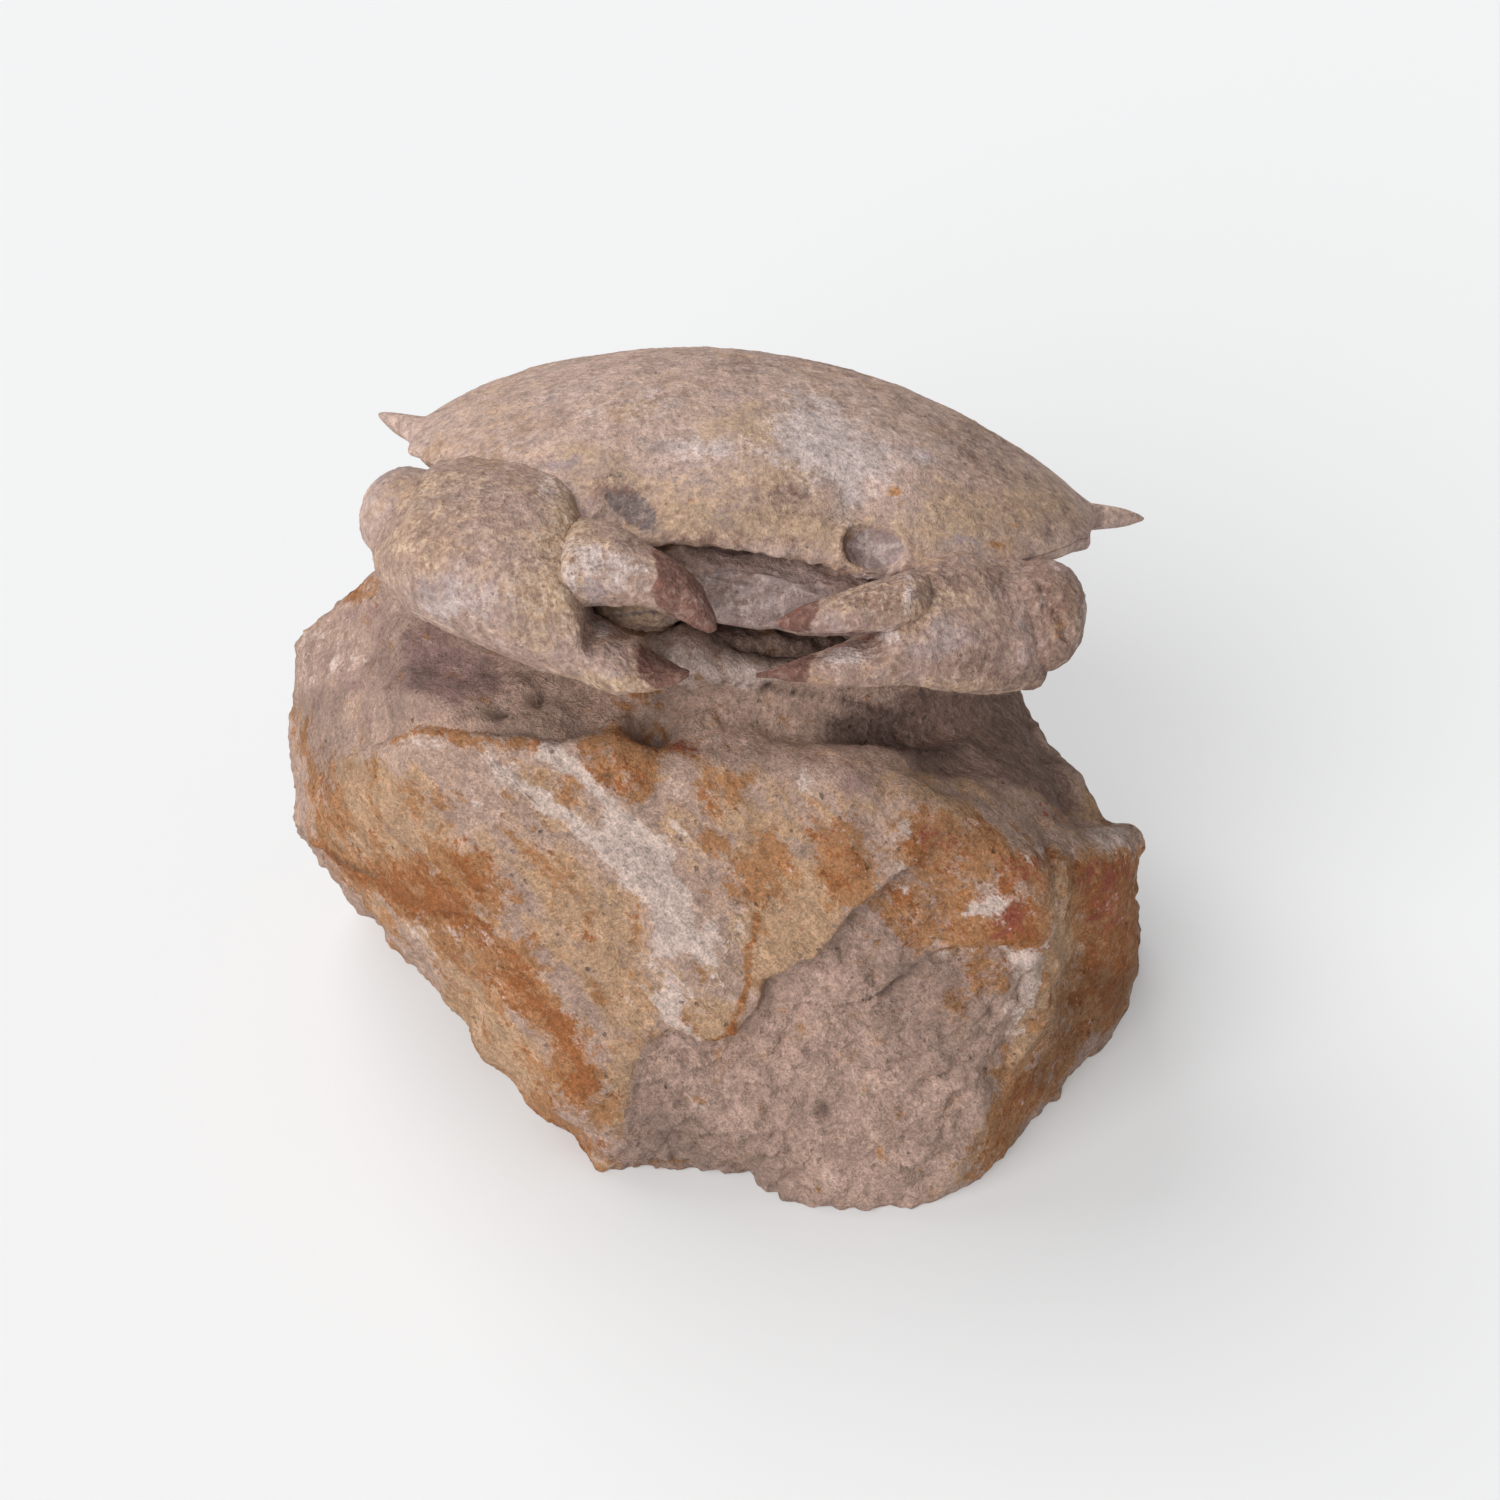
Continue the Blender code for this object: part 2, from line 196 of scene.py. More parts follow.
BIG_FINGER = (
    (-28.0, -39.0, -8.6, 1.5, 4.0),
    (-26.8, -39.8, -8.5, 4.2, 8.4),
    (-25.2, -40.6, -8.4, 6.0, 9.6),
    (-23.4, -41.3, -8.0, 6.1, 9.1),
    (-21.4, -42.0, -7.7, 5.8, 8.4),
    (-19.4, -42.7, -7.5, 5.5, 7.8),
    (-17.4, -43.4, -7.6, 5.0, 7.2),
    (-14.4, -44.8, -7.9, 4.4, 6.4),
    (-11.8, -45.9, -8.6, 4.2, 5.7),
    (-8.8, -46.6, -9.6, 3.9, 4.8),
    (-6.6, -47.2, -10.8, 3.3, 3.8),
    (-5.0, -47.6, -11.9, 2.4, 2.6),
    (-3.9, -48.0, -12.8, 0.8, 0.6),
)

SMALL_PALM = (
    (45.6, -27.6, -11.2, 2.0, 3.0),
    (44.8, -28.0, -11.2, 5.6, 5.5),
    (43.2, -28.8, -11.3, 8.2, 7.4),
    (40.8, -29.8, -11.4, 9.5, 8.7),
    (38.0, -31.0, -11.4, 10.0, 9.6),
    (35.0, -32.4, -11.1, 10.4, 10.2),
    (31.0, -34.2, -10.8, 10.4, 10.3),
    (27.0, -36.6, -11.1, 9.5, 9.5),
    (24.4, -38.2, -11.9, 8.2, 8.3),
    (22.4, -39.8, -13.4, 6.6, 7.3),
    (20.5, -40.7, -15.6, 4.5, 6.6),
    (18.8, -41.6, -16.8, 3.5, 5.8),
    (16.4, -42.8, -17.2, 3.1, 5.0),
    (13.6, -44.0, -17.7, 2.5, 4.0),
    (10.6, -45.0, -18.2, 1.8, 3.0),
    (7.4, -46.4, -18.8, 1.2, 2.0),
    (4.6, -47.4, -19.2, 0.7, 1.1),
    (2.6, -48.0, -19.5, 0.3, 0.4),
)

SMALL_FINGER = (
    (27.0, -37.8, -6.6, 1.0, 3.0),
    (26.0, -38.6, -6.7, 2.7, 5.4),
    (24.8, -39.5, -6.9, 3.4, 6.3),
    (23.2, -40.5, -7.2, 3.7, 6.3),
    (21.4, -41.3, -7.6, 3.6, 5.9),
    (19.0, -42.2, -8.2, 3.6, 5.4),
    (16.4, -43.0, -8.9, 3.3, 4.9),
    (13.6, -43.8, -9.6, 2.9, 4.2),
    (10.8, -44.6, -10.4, 2.4, 3.4),
    (8.0, -45.5, -11.0, 1.8, 2.5),
    (6.0, -46.3, -11.5, 1.1, 1.5),
    (4.5, -47.0, -11.8, 0.4, 0.4),
)

# A claw's height is measured along this line, which leans a little to one side
CLAW_UPWARD = np.array([-0.13, 0.0, 0.99])

# How much deeper a palm is behind its stations than before them
PALM_BEDDING = 1.5

# How far the upper half of each leans back towards the shell, as a share of its height
BIG_PALM_LEAN = 0.85
SMALL_PALM_LEAN = 0.4
BIG_FINGER_LEAN = 0.4

# The power of a section's outline, where 2 is an oval and more is squarer
PALM_SQUARENESS = 2.5
FINGER_SQUARENESS = 2.3
KNOB_SQUARENESS = 2.2

# The joints behind the palms: middle and half sizes
BIG_WRIST = ((-50.6, -23.0, -9.4), (7.2, 9.5, 6.9))
SMALL_WRIST = ((43.5, -28.4, -10.2), (6.7, 8.8, 8.2))
SMALL_ARM = ((42.8, -27.9, -18.6), (3.0, 4.8, 2.9))

# The stone's broken faces: the way each looks, and its distance from the stone's heart. Then how
# sharp the edges between them are, and how much noise bends them
STONE_HEART = np.array([0.0, 0.0, 40.0])
STONE_FACES = {
    "floor": ((0.0, 0.0, -1.0), 46.0),
    "left shelf": ((0.10, -0.03, 0.99), 35.9),
    "right slope": ((0.53, 0.045, 0.845), 39.8),
    "front": ((-0.08, -0.96, 0.23), 48.5),
    "front foot": ((-0.25, -0.88, -0.40), 61.0),
    "front left": ((-0.62, -0.76, -0.10), 55.0),
    "left undercut": ((-0.72, -0.46, -0.52), 55.4),
    "left brow": ((-0.82, -0.20, 0.45), 63.0),
    "left": ((-0.98, -0.10, 0.10), 70.0),
    "left back shoulder": ((-0.50, 0.56, 0.66), 54.0),
    "right front": ((0.74, -0.66, -0.03), 68.0),
    "right lobe": ((0.97, -0.22, -0.10), 71.2),
    "right undercut": ((0.70, -0.45, -0.55), 77.0),
    "right back": ((0.80, 0.47, 0.37), 46.0),
    "back": ((0.05, 0.99, 0.10), 50.0),
    "left back": ((-0.70, 0.70, 0.0), 58.0),
    "back top": ((0.05, 0.55, 0.83), 40.0),
}
STONE_SHARPNESS = 26
STONE_BEND = 0.035

# The post that carries the crab: its top lies this far under the shell's rim, and its sides stand
# around the same heart. The last two values are how sharp its own edges and its join are
POST_TOP = -20.0
POST_FACES = {
    "left": ((-0.95, 0.0, 0.30), 41.0),
    "right": ((0.97, 0.0, 0.22), 45.5),
    "front": ((-0.10, -0.95, 0.30), 38.5),
    "back": ((0.0, 0.97, 0.25), 36.0),
    "front left": ((-0.70, -0.66, 0.27), 39.0),
    "front right": ((0.65, -0.70, 0.30), 45.0),
    "foot": ((0.0, 0.0, -1.0), 5.0),
}
POST_SHARPNESS = 24
JOIN_SHARPNESS = 40

# Grids: rows and columns of each surface, with more rows for the shell's rim and its underside
STONE_STEPS = (242, 404)
SHELL_STEPS = (112, 640)
FACE_STEPS = (150, 300)
PALM_STEPS = (270, 190)
FINGER_STEPS = (170, 130)
KNOB_STEPS = (110, 150)
ARM_STEPS = (50, 70)
RIM_STEPS = 13
UNDER_STEPS = 18

# How strongly the stone's rows and columns crowd, and how near the end of a surface its first and
# last rings lie, in radians, for the stone and for the rounded blocks
ROW_CROWDING = 0.16
COLUMN_CROWDING = 0.42
STONE_END = 0.02
KNOB_END = 0.03

# How sharply one broken facet gives way to the next, and how far from edge-on a surface still
# counts as partly seen
CHIP_FALLOFF = 9.0
GRAZING = 0.12

# Pixels on either side of a line over which its scarp starts
SCARP_START = (-2.5, 3.5)

# How far noise moves what is placed by where it is seen, in pixels: the stone's hills and scarps,
# the edges of its stains, the edges of the claws' dark ends, and the blotches of every crab piece
HILL_SWAY = 6
STAIN_FRAY = 7
TIP_FRAY = 4
BLOTCH_SWAY = 9


def unit(vector):
    """The same direction at length 1, for one vector or an array of them."""
    vector = np.asarray(vector, float)
    return vector / np.linalg.norm(vector, axis=-1, keepdims=True)


def signed_power(values, power):
    """Power of the size of each value, with its sign kept: it squares a circle's sine and cosine."""
    return np.sign(values) * np.abs(values) ** power


def rise(values, low, high):
    """0 below low, 1 above high, and an S-shaped curve between them."""
    part = np.clip((values - low) / (high - low), 0, 1)
    return part * part * (3 - 2 * part)


def scatter(cell, seed):
    """A steady random vector, each part -1 to 1, for every whole-numbered cell: a hash of its place."""
    mixed = (cell @ np.array([374761393, 668265263, 1440670441]) + seed * 974634777) & 0xFFFFFFFF
    mixed = ((mixed ^ (mixed >> 13)) * 1274126177) & 0xFFFFFFFF
    mixed = mixed ^ (mixed >> 16)
    return np.stack([(mixed >> shift) & 1023 for shift in (0, 10, 20)], -1) / 511.5 - 1


def swell(points, size, seed):
    """Smooth random heights, about -1 to 1, that change over a size: each lattice corner adds a
    random slope, eased out to nothing at its neighbours."""
    place = points / size
    cell = np.floor(place).astype(np.int64)
    part = place - cell
    ease = part**3 * (part * (part * 6 - 15) + 10)
    total = 0
    for corner in np.ndindex(2, 2, 2):
        share = np.where(corner, ease, 1 - ease).prod(-1)
        total = total + share * ((part - corner) * scatter(cell + corner, seed)).sum(-1)
    return 1.2 * total


def rough(points, size, octaves, seed, fade=0.5):
    """Swells of halving sizes and fading heights, added up."""
    return sum(fade**k * swell(points, size * 0.5**k, seed + 11 * k) for k in range(octaves))


def crags(points, size, octaves, seed, fade=0.5):
    """Sharp crests, about 0 to 1: one less the size of a swell, in halving sizes."""
    return sum(
        fade**k * (1 - 2 * np.abs(swell(points, size * 0.5**k, seed + 11 * k))) for k in range(octaves)
    )


def chips(points, size, seed):
    """Broken facets: around each scattered centre the surface is a plane of its own tilt, and
    neighbours blend over a narrow strip, by weights that fall off with the distance squared."""
    place = points / size
    cell = np.floor(place).astype(np.int64)
    total = 0
    weights = 0
    for step in np.ndindex(3, 3, 3):
        corner = cell + step - 1
        apart = place - (corner + 0.5 + 0.42 * scatter(corner, seed))
        tilt = (apart * scatter(corner, seed + 1)).sum(-1) + 0.4 * scatter(corner, seed + 2)[..., 0]
        weight = np.exp(-CHIP_FALLOFF * (apart**2).sum(-1))
        total = total + weight * tilt
        weights = weights + weight
    return total / weights


def smooth_through(stops, steps):
    """Points evenly along a smooth curve through the stops, a Catmull-Rom spline."""
    stops = np.array(stops)
    last = len(stops) - 1
    padded = np.vstack([2 * stops[0] - stops[1], stops, 2 * stops[-1] - stops[-2]])
    place = np.linspace(0, last, steps)
    index = np.minimum(place.astype(int), last - 1)
    part = (place - index)[:, None]
    a, b, c, d = (padded[index + k] for k in range(4))
    cubic = 3 * b - a - 3 * c + d
    return 0.5 * (2 * b + (c - a) * part + (2 * a - 5 * b + 4 * c - d) * part**2 + cubic * part**3)


def crowded(count, crowds):
    """Angles once round that crowd at some places: each takes an equal share of a density that is
    1 plus a bell at each crowd."""
    fine = np.linspace(0, 2 * np.pi, 4001)
    density = 1
    for angle, width, extra in crowds:
        apart = (fine - angle + np.pi) % (2 * np.pi) - np.pi
        density = density + extra * np.exp(-((apart / width) ** 2))
    total = np.concatenate([[0], np.cumsum(density[1:] + density[:-1])])
    return np.interp(np.arange(count) / count * total[-1], total, fine)


def terraces(values, edge):
    """Values made into steps one apart: flat treads, with a short S-shaped rise between them."""
    tread = np.floor(values)
    return tread + rise(values - tread, 0.5 - edge, 0.5 + edge)


def camera_axes():
    """The camera's right, its up and the way it looks."""
    forward = np.array([0.0, np.cos(CAMERA_STEEPNESS), -np.sin(CAMERA_STEEPNESS)])
    right = np.array([1.0, 0.0, 0.0])
    return right, np.cross(right, forward), forward


def seen_at(points):
    """Where points appear in the photograph, in its pixels from the top left: a pinhole camera."""
    right, upward, forward = camera_axes()
    offset = points - (LOOKS_AT - CAMERA_DISTANCE * forward)
    scale = LENS / SENSOR * PHOTO_SIDE / (offset @ forward)
    middle = PHOTO_SIDE / 2
    return np.stack([middle + scale * (offset @ right), middle - scale * (offset @ upward)], -1)


def drawn_along(points, way, share):
    """Points pressed together along a way, so that noise read there is drawn out along it."""
    way = unit(way)
    return points - share * (points @ way)[..., None] * way


def outward_of(rings):
    """The outward direction at each point of a closed grid of rings, from its neighbours' places."""
    along = np.gradient(rings, axis=0)
    around = np.roll(rings, -1, axis=1) - np.roll(rings, 1, axis=1)
    normal = np.cross(around, along)
    length = np.linalg.norm(normal, axis=-1, keepdims=True)
    normal = normal / np.maximum(length, 1e-9)
    outside = ((rings - rings.mean((0, 1))) * normal).sum()
    return normal * np.sign(outside)


def faces_camera(points, outward):
    """1 where the surface looks at the photograph's camera, 0 where it looks away, and between."""
    eye = LOOKS_AT - CAMERA_DISTANCE * camera_axes()[2]
    return rise((unit(eye - points) * outward).sum(-1), -GRAZING, GRAZING)


def beside_line(seen, line):
    """Distance in pixels from each seen point to a line of straight stretches, negative on the
    left of its way."""
    line = np.array(line, float)
    nearest = np.full(seen.shape[:-1], 1e9)
    for start, end in zip(line, line[1:]):
        way = end - start
        part = np.clip(((seen - start) @ way) / (way @ way), 0, 1)
        gap = seen - start - part[..., None] * way
        side = way[0] * gap[..., 1] - way[1] * gap[..., 0]
        apart = np.hypot(gap[..., 0], gap[..., 1]) * np.where(side < 0, -1, 1)
        nearest = np.where(np.abs(apart) < np.abs(nearest), apart, nearest)
    return nearest


def off_line(seen, line):
    """The same distance without its sign."""
    return np.abs(beside_line(seen, line))


def scarp(seen, line, fall):
    """A step down to the right of a line: 1 just past it and fading over a fall, in pixels."""
    beside = beside_line(seen, line)
    return rise(beside, *SCARP_START) * np.exp(-((beside / fall) ** 2))


def groove(seen, line, width):
    """A soft line of a width in pixels: a bell of the distance to it."""
    return np.exp(-((off_line(seen, line) / width) ** 2))


def depth_in(seen, outline):
    """How deep each seen point lies inside an outline, in pixels, and negative outside: the
    distance to the outline, with its sign from how often a line to the right crosses it."""
    corners = np.array(outline, float)
    inside = np.zeros(seen.shape[:-1], bool)
    x, y = seen[..., 0], seen[..., 1]
    for (x0, y0), (x1, y1) in zip(corners, np.roll(corners, -1, axis=0)):
        if y0 != y1:
            crosses = (y0 > y) != (y1 > y)
            inside ^= crosses & (x < x0 + (y - y0) * (x1 - x0) / (y1 - y0))
    edge = off_line(seen, np.vstack([corners, corners[:1]]))
    return np.where(inside, edge, -edge)


def filled(seen, outline, low, high):
    """1 inside an outline and 0 outside, by an S-shaped rise of the depth in it, in pixels."""
    return rise(depth_in(seen, outline), low, high)


def spot(seen, middle, radii):
    """A round hill of height 1 at a place in the photograph, fading over its two radii."""
    apart = (seen - np.array(middle)) / np.array(radii)
    return np.exp(-(apart**2).sum(-1))


def spots(seen, table):
    """A table's spots added up: each has its middle, its radii and its strength."""
    return sum(strength * spot(seen, middle, radii) for middle, radii, strength in table)


def grooves(seen, table):
    """A table's soft lines added up: each has its line, its width and its strength."""
    return sum(strength * groove(seen, line, width) for line, width, strength in table)


def patches(seen, table, softness):
    """A table's outlines filled and added up: each has its outline and its strength."""
    return sum(strength * filled(seen, line, -softness, softness) for line, strength in table)


def sway(points, size, octaves, seed, fade=0.5):
    """Roughness across and up the photograph, which pushes about what is placed there."""
    return np.stack([rough(points, size, octaves, seed + k, fade) for k in (0, 1)], -1)


def put_on_stone(points):
    """The crab's frame turned and set on the stone."""
    return points @ CRAB_TURN.T + CRAB_SEAT + CENTRING


def shell_edge(turn):
    """The shell's outline: a rounded square of half widths, longer at the nose, with its dip and
    its lower left end."""
    c, s = np.cos(turn), np.sin(turn)
    squareness = np.where(s < 0, NOSE_SQUARENESS, 2.0)
    reach = (np.abs(c) ** squareness + np.abs(s) ** squareness) ** (-1 / squareness)
    x = SHELL_HALF_WIDTH * c * reach
    y = SHELL_MIDDLE + np.where(s < 0, SHELL_NOSE, SHELL_TAIL) * s * reach
    dip, place, width = BROW_DIP
    brow = dip * np.exp(-(((np.abs(x) - place) / width) ** 2)) * (s < 0)
    z = -EDGE_DROP - NOSE_DROP * np.clip(-s, 0, 1) ** 2 - TAIL_DROP * np.clip(s, 0, 1) ** 2 - brow
    return np.stack([x, y, z - LEFT_DROOP * np.clip(-c, 0, 1) ** 4], -1)


def rim_depth(turn):
    """How thick the rim is: the full depth on the right and at the tail, less at nose and left."""
    nose, left = np.clip(-np.sin(turn), 0, 1) ** 2, np.clip(-np.cos(turn), 0, 1) ** 4
    return SHELL_RIM * (1 - RIM_THINNING[0] * nose - RIM_THINNING[1] * left)


def shell_rings():
    """The shell from the top of its dome, over a rounded rim and back to the middle underneath.

    The dome's height is a power of one less the distance out squared, over an outline that dips at
    the nose. A bell of the place across lowers its right shoulder, and its right end is drawn in. A
    spine draws the points near its root out by a power of one less their squared distance, over a
    wider flare, and a tooth by a low power of their nearness.
    """
    rows, columns = SHELL_STEPS
    turn = crowded(columns, SHELL_CROWDS)
    edge = shell_edge(turn)
    depth = rim_depth(turn)
    middle = np.array([0.0, SHELL_MIDDLE, 0.0])
    out = np.sin(np.pi / 2 * np.linspace(0, 1, rows + 1)[1:])[:, None]
    top = middle + (edge - middle) * out[..., None]
    top[..., 2] = edge[:, 2] * out**3 + SHELL_DOME * (1 - out**2) ** DOME_POWER
    sag, place, width = RIGHT_SAG
    top[..., 2] -= sag * np.exp(-(((top[..., 0] - place) / width) ** 2))
    bend = np.linspace(0, np.pi / 2, RIM_STEPS)[1:, None]
    rim = middle + (edge - middle) * (1 - RIM_INSET * (1 - np.cos(bend)))[..., None]
    rim[..., 2] = top[-1, :, 2] - depth * np.sin(bend)
    inset = np.linspace(0.93, 0.04, UNDER_STEPS)[:, None]
    below = middle + (edge - middle) * inset[..., None]
    below[..., 2] = (edge[:, 2] - depth) * inset**2 - SHELL_HOLLOW * (1 - inset**2)
    rings = np.concatenate([top, rim, below])
    drawn, start, end = RIGHT_DRAW_IN
    rings[..., 0] -= drawn * rise(rings[..., 0], start, end)
    for root, reach, half_wide, bluntness in SPINES:
        apart = np.linalg.norm(rings - np.array(root), axis=-1)
        spike = np.clip(1 - (apart / half_wide) ** 2, 0, 1) ** bluntness
        flare = np.clip(1 - apart / SPINE_FLARE, 0, 1) ** 2
        share = (1 - SPINE_FLARE_SHARE) * spike + SPINE_FLARE_SHARE * flare
        rings = rings + share[..., None] * np.array(reach)
    for root, reach, size in TEETH:
        near = np.clip(1 - np.linalg.norm(rings - np.array(root), axis=-1) / size, 0, 1)
        rings = rings + (near**TOOTH_POWER)[..., None] * np.array(reach)
    return rings


def press_socket(rings, socket):
    """Presses a bowl with steep walls into the rings, and raises a lip round it.

    The distance from its middle is in half widths and squared like the socket's outline. The depth
    is a low power of one less its square.
    """
    centre, (half_wide, half_high), depth, lip = socket
    inward = unit(SOCKET_INWARD)
    across = unit(np.cross(inward, (0, 0, 1)))
    offset = rings - np.array(centre)
    off = np.abs(offset @ across / half_wide) ** SOCKET_SQUARENESS
    off = off + np.abs(offset @ np.cross(across, inward) / half_high) ** SOCKET_SQUARENESS
    off = off ** (1 / SOCKET_SQUARENESS)
    near = np.abs(offset @ inward) < SOCKET_REACH
    bowl = depth * np.clip(1 - off**2, 0, 1) ** BOWL_POWER
    crest = lip * np.exp(-(((off - LIP_PLACE) / LIP_WIDTH) ** 2))
    return rings + (near * (bowl - crest))[..., None] * inward


def claw_rings(stations, steps, bedding=1.0, lean=0.0, squareness=FINGER_SQUARENESS):
    """Rounded upright sections set across a claw, through its stations. Behind the middle they are
    deeper by the bedding, and their upper halves lean back along the camera's line of sight."""
    rows, columns = steps
    points = smooth_through(stations, rows)
    turn = np.linspace(0, 2 * np.pi, columns, endpoint=False)
    high = points[:, 3, None] * signed_power(np.cos(turn), 2 / squareness)
    deep = points[:, 4, None] * signed_power(np.sin(turn), 2 / squareness)
    rings = points[:, None, :3] + high[..., None] * CLAW_UPWARD
    rings[..., 1] += np.where(deep > 0, bedding, 1.0) * deep
    sight = camera_axes()[2] @ CRAB_TURN
    return rings + lean * np.maximum(high, 0)[..., None] * sight


def knob_rings(middle, half, steps, squareness=KNOB_SQUARENESS, side_on=False):
    """A rounded block about its middle, as rings from its tail end to its nose end, or side to
    side: a ball whose three parts are made squarer by a power and then stretched."""
    rows, columns = steps
    down = np.linspace(KNOB_END, np.pi - KNOB_END, rows)[:, None]
    turn = np.linspace(0, 2 * np.pi, columns, endpoint=False)[None, :]
    across, along = np.sin(down) * np.cos(turn), np.cos(down) + 0 * turn
    if side_on:
        across, along = along, across
    ball = np.stack([across, along, np.sin(down) * np.sin(turn)], -1)
    return np.array(middle) + signed_power(ball, 2 / squareness) * np.array(half)


def block_reach(directions, faces, sharpness):
    """How far a block of flat faces reaches each way: where the nearest face cuts that way.

    The faces' shares are added as a high power, which rounds the edges between them a little.
    """
    normals = unit([normal for normal, _ in faces])
    distances = np.array([distance for _, distance in faces])
    shares = np.maximum(directions @ normals.T, 0) / distances
    return (shares**sharpness).sum(-1) ** (-1 / sharpness)


def stone_block():
    """The stone from its top to its floor before its surface is broken up: two blocks joined.

    Rows crowd towards the walls and columns towards the front, where the detail is.
    """
    rows, columns = STONE_STEPS
    step = np.linspace(0, 1, rows)
    even_down = STONE_END + (np.pi - 2 * STONE_END) * step
    down = (even_down + ROW_CROWDING * np.sin(2 * np.pi * step))[:, None]
    even = np.linspace(0, 2 * np.pi, columns, endpoint=False)
    turn = (even - COLUMN_CROWDING * np.sin(even) - np.pi / 2)[None, :]
    ways = np.stack(
        [np.sin(down) * np.cos(turn), np.sin(down) * np.sin(turn), np.cos(down) + 0 * turn], -1
    )
    top_way = CRAB_TURN[:, 2]
    top = (top_way, top_way @ (CRAB_SEAT - STONE_HEART) + POST_TOP)
    bend = np.stack([swell(ways * 50, 26, seed) for seed in (1, 2, 3)], -1)
    bent = unit(ways + STONE_BEND * bend)
    block = block_reach(bent, list(STONE_FACES.values()), STONE_SHARPNESS)
    post = block_reach(ways, [top, *POST_FACES.values()], POST_SHARPNESS)
    reach = (block**JOIN_SHARPNESS + post**JOIN_SHARPNESS) ** (1 / JOIN_SHARPNESS)
    return STONE_HEART + reach[..., None] * ways


# Hills and hollows of the stone's front: where each is seen in the photograph, its two radii in
# pixels, and how far it moves the surface out
STONE_HILLS = {
    "shelf hollow": ((445, 655), (62, 30), -3.4),
    "shelf middle": ((560, 690), (40, 20), -0.8),
    "left pit": ((465, 711), (7, 4), -0.9),
    "middle pit": ((502, 707), (10, 6), -1.3),
    "right pit": ((541, 694), (8, 10), -1.6),
    "lump on the rim": ((628, 764), (44, 32), 3.0),
    "hole in the lump": ((608, 773), (8, 7), -1.2),
    "hole beside the lump": ((652, 727), (20, 18), -8.0),
    "dip under the lump": ((562, 788), (22, 22), -1.0),
    "second lump": ((716, 770), (26, 22), 1.2),
    "brow under the mouth": ((705, 712), (50, 26), 1.6),
    "ledge under the fingers": ((705, 670), (80, 17), 3.6),
    "left end of that ledge": ((672, 652), (44, 14), 6.3),
    "gap over that ledge": ((780, 646), (66, 10), -3.2),
    "slope under the small claw": ((810, 715), (40, 20), -1.0),
    "valley": ((880, 733), (76, 12), -4.2),
    "end of the valley": ((944, 764), (34, 12), -2.0),
    "pink ridge": ((835, 775), (60, 12), 0.9),
    "right ridge": ((975, 805), (80, 14), 0.4),
    "right lobe": ((1128, 868), (26, 56), 0.8),
    "pink knob": ((1098, 826), (26, 14), 1.0),
    "notch over the lobe": ((1082, 786), (22, 16), -3.0),
    "olive ridge": ((1040, 950), (16, 80), 1.6),
    "olive dip": ((1082, 950), (18, 80), -1.8),
    "foot bulge": ((850, 1190), (70, 30), 1.6),
    "foot notch": ((735, 1192), (34, 20), -1.6),
    "small hole": ((822, 1118), (7, 6), -1.3),
    "tongue": ((700, 955), (40, 62), 0.9),
    "left flank dent": ((312, 735), (16, 40), -0.8),
    "left step": ((300, 672), (14, 14), -1.2),
}

# The same for its outline, which also moves the surface beyond it
STONE_EDGES = {
    "right slope": ((1056, 744), (42, 46), -3.3),
    "right lobe top": ((1110, 806), (38, 24), -4.8),
    "right lobe": ((1150, 880), (20, 40), -2.8),
    "right flank": ((1140, 975), (20, 34), 1.4),
    "low right flank": ((1082, 1086), (50, 46), -2.4),
    "low right foot": ((1040, 1118), (20, 24), -1.4),
    "right foot": ((942, 1205), (50, 18), -1.4),
    "front foot": ((790, 1196), (44, 20), 2.2),
    "left foot": ((608, 1156), (46, 26), 4.6),
    "low left flank": ((540, 1104), (40, 34), 2.8),
    "left flank": ((488, 1050), (30, 30), 3.0),
    "left middle": ((394, 948), (20, 22), 1.5),
    "left": ((282, 788), (22, 42), -2.3),
    "left shoulder": ((302, 650), (24, 46), 1.5),
}

# Scarps: a line with the low side on its right, the height of the step, and how far it fades
SCARPS = {
    "behind the rim": (((596, 728), (560, 744), (545, 741), (522, 733), (471, 735), (417, 726),
                        (392, 738)), 2.0, 34),
    "grey break": (((716, 1036), (738, 1035), (756, 1008), (765, 981), (816, 958), (853, 912),
                    (890, 882)), 2.2, 60),
    "under the orange": (((868, 1000), (885, 992), (932, 963), (958, 949), (1015, 946)), 1.4, 40),
    "under the tongue": (((655, 1006), (672, 1026), (700, 1040), (733, 1036)), 1.0, 26),
    "first flake": (((832, 1022), (845, 1000), (861, 982)), 0.9, 16),
    "second flake": (((878, 1003), (892, 984), (909, 972)), 0.9, 18),
    "third flake": (((917, 1003), (930, 984), (946, 974)), 0.9, 20),
    "long flake": (((922, 1088), (960, 1070), (1004, 1053)), 1.0, 26),
    "left flake": (((778, 1046), (788, 1024), (802, 1008)), 0.7, 18),
    "low flake": (((880, 1150), (920, 1125), (960, 1118)), 0.6, 26),
    "overhang": (((312, 838), (331, 850), (350, 868), (377, 881), (414, 903), (452, 914), (488, 934),
                  (512, 962), (540, 1000), (550, 1030)), 1.8, 26),
    "left crack": (((385, 765), (388, 740), (384, 700)), 0.5, 14),
    "crack under the fingers": (((905, 722), (860, 706), (800, 696), (760, 690)), 0.9, 14),
    "orange ledge": (((888, 800), (880, 840), (874, 872)), 0.7, 16),
    "olive edge": (((1052, 830), (1060, 870), (1056, 930), (1044, 1005), (1012, 1080)), 1.0, 22),
}

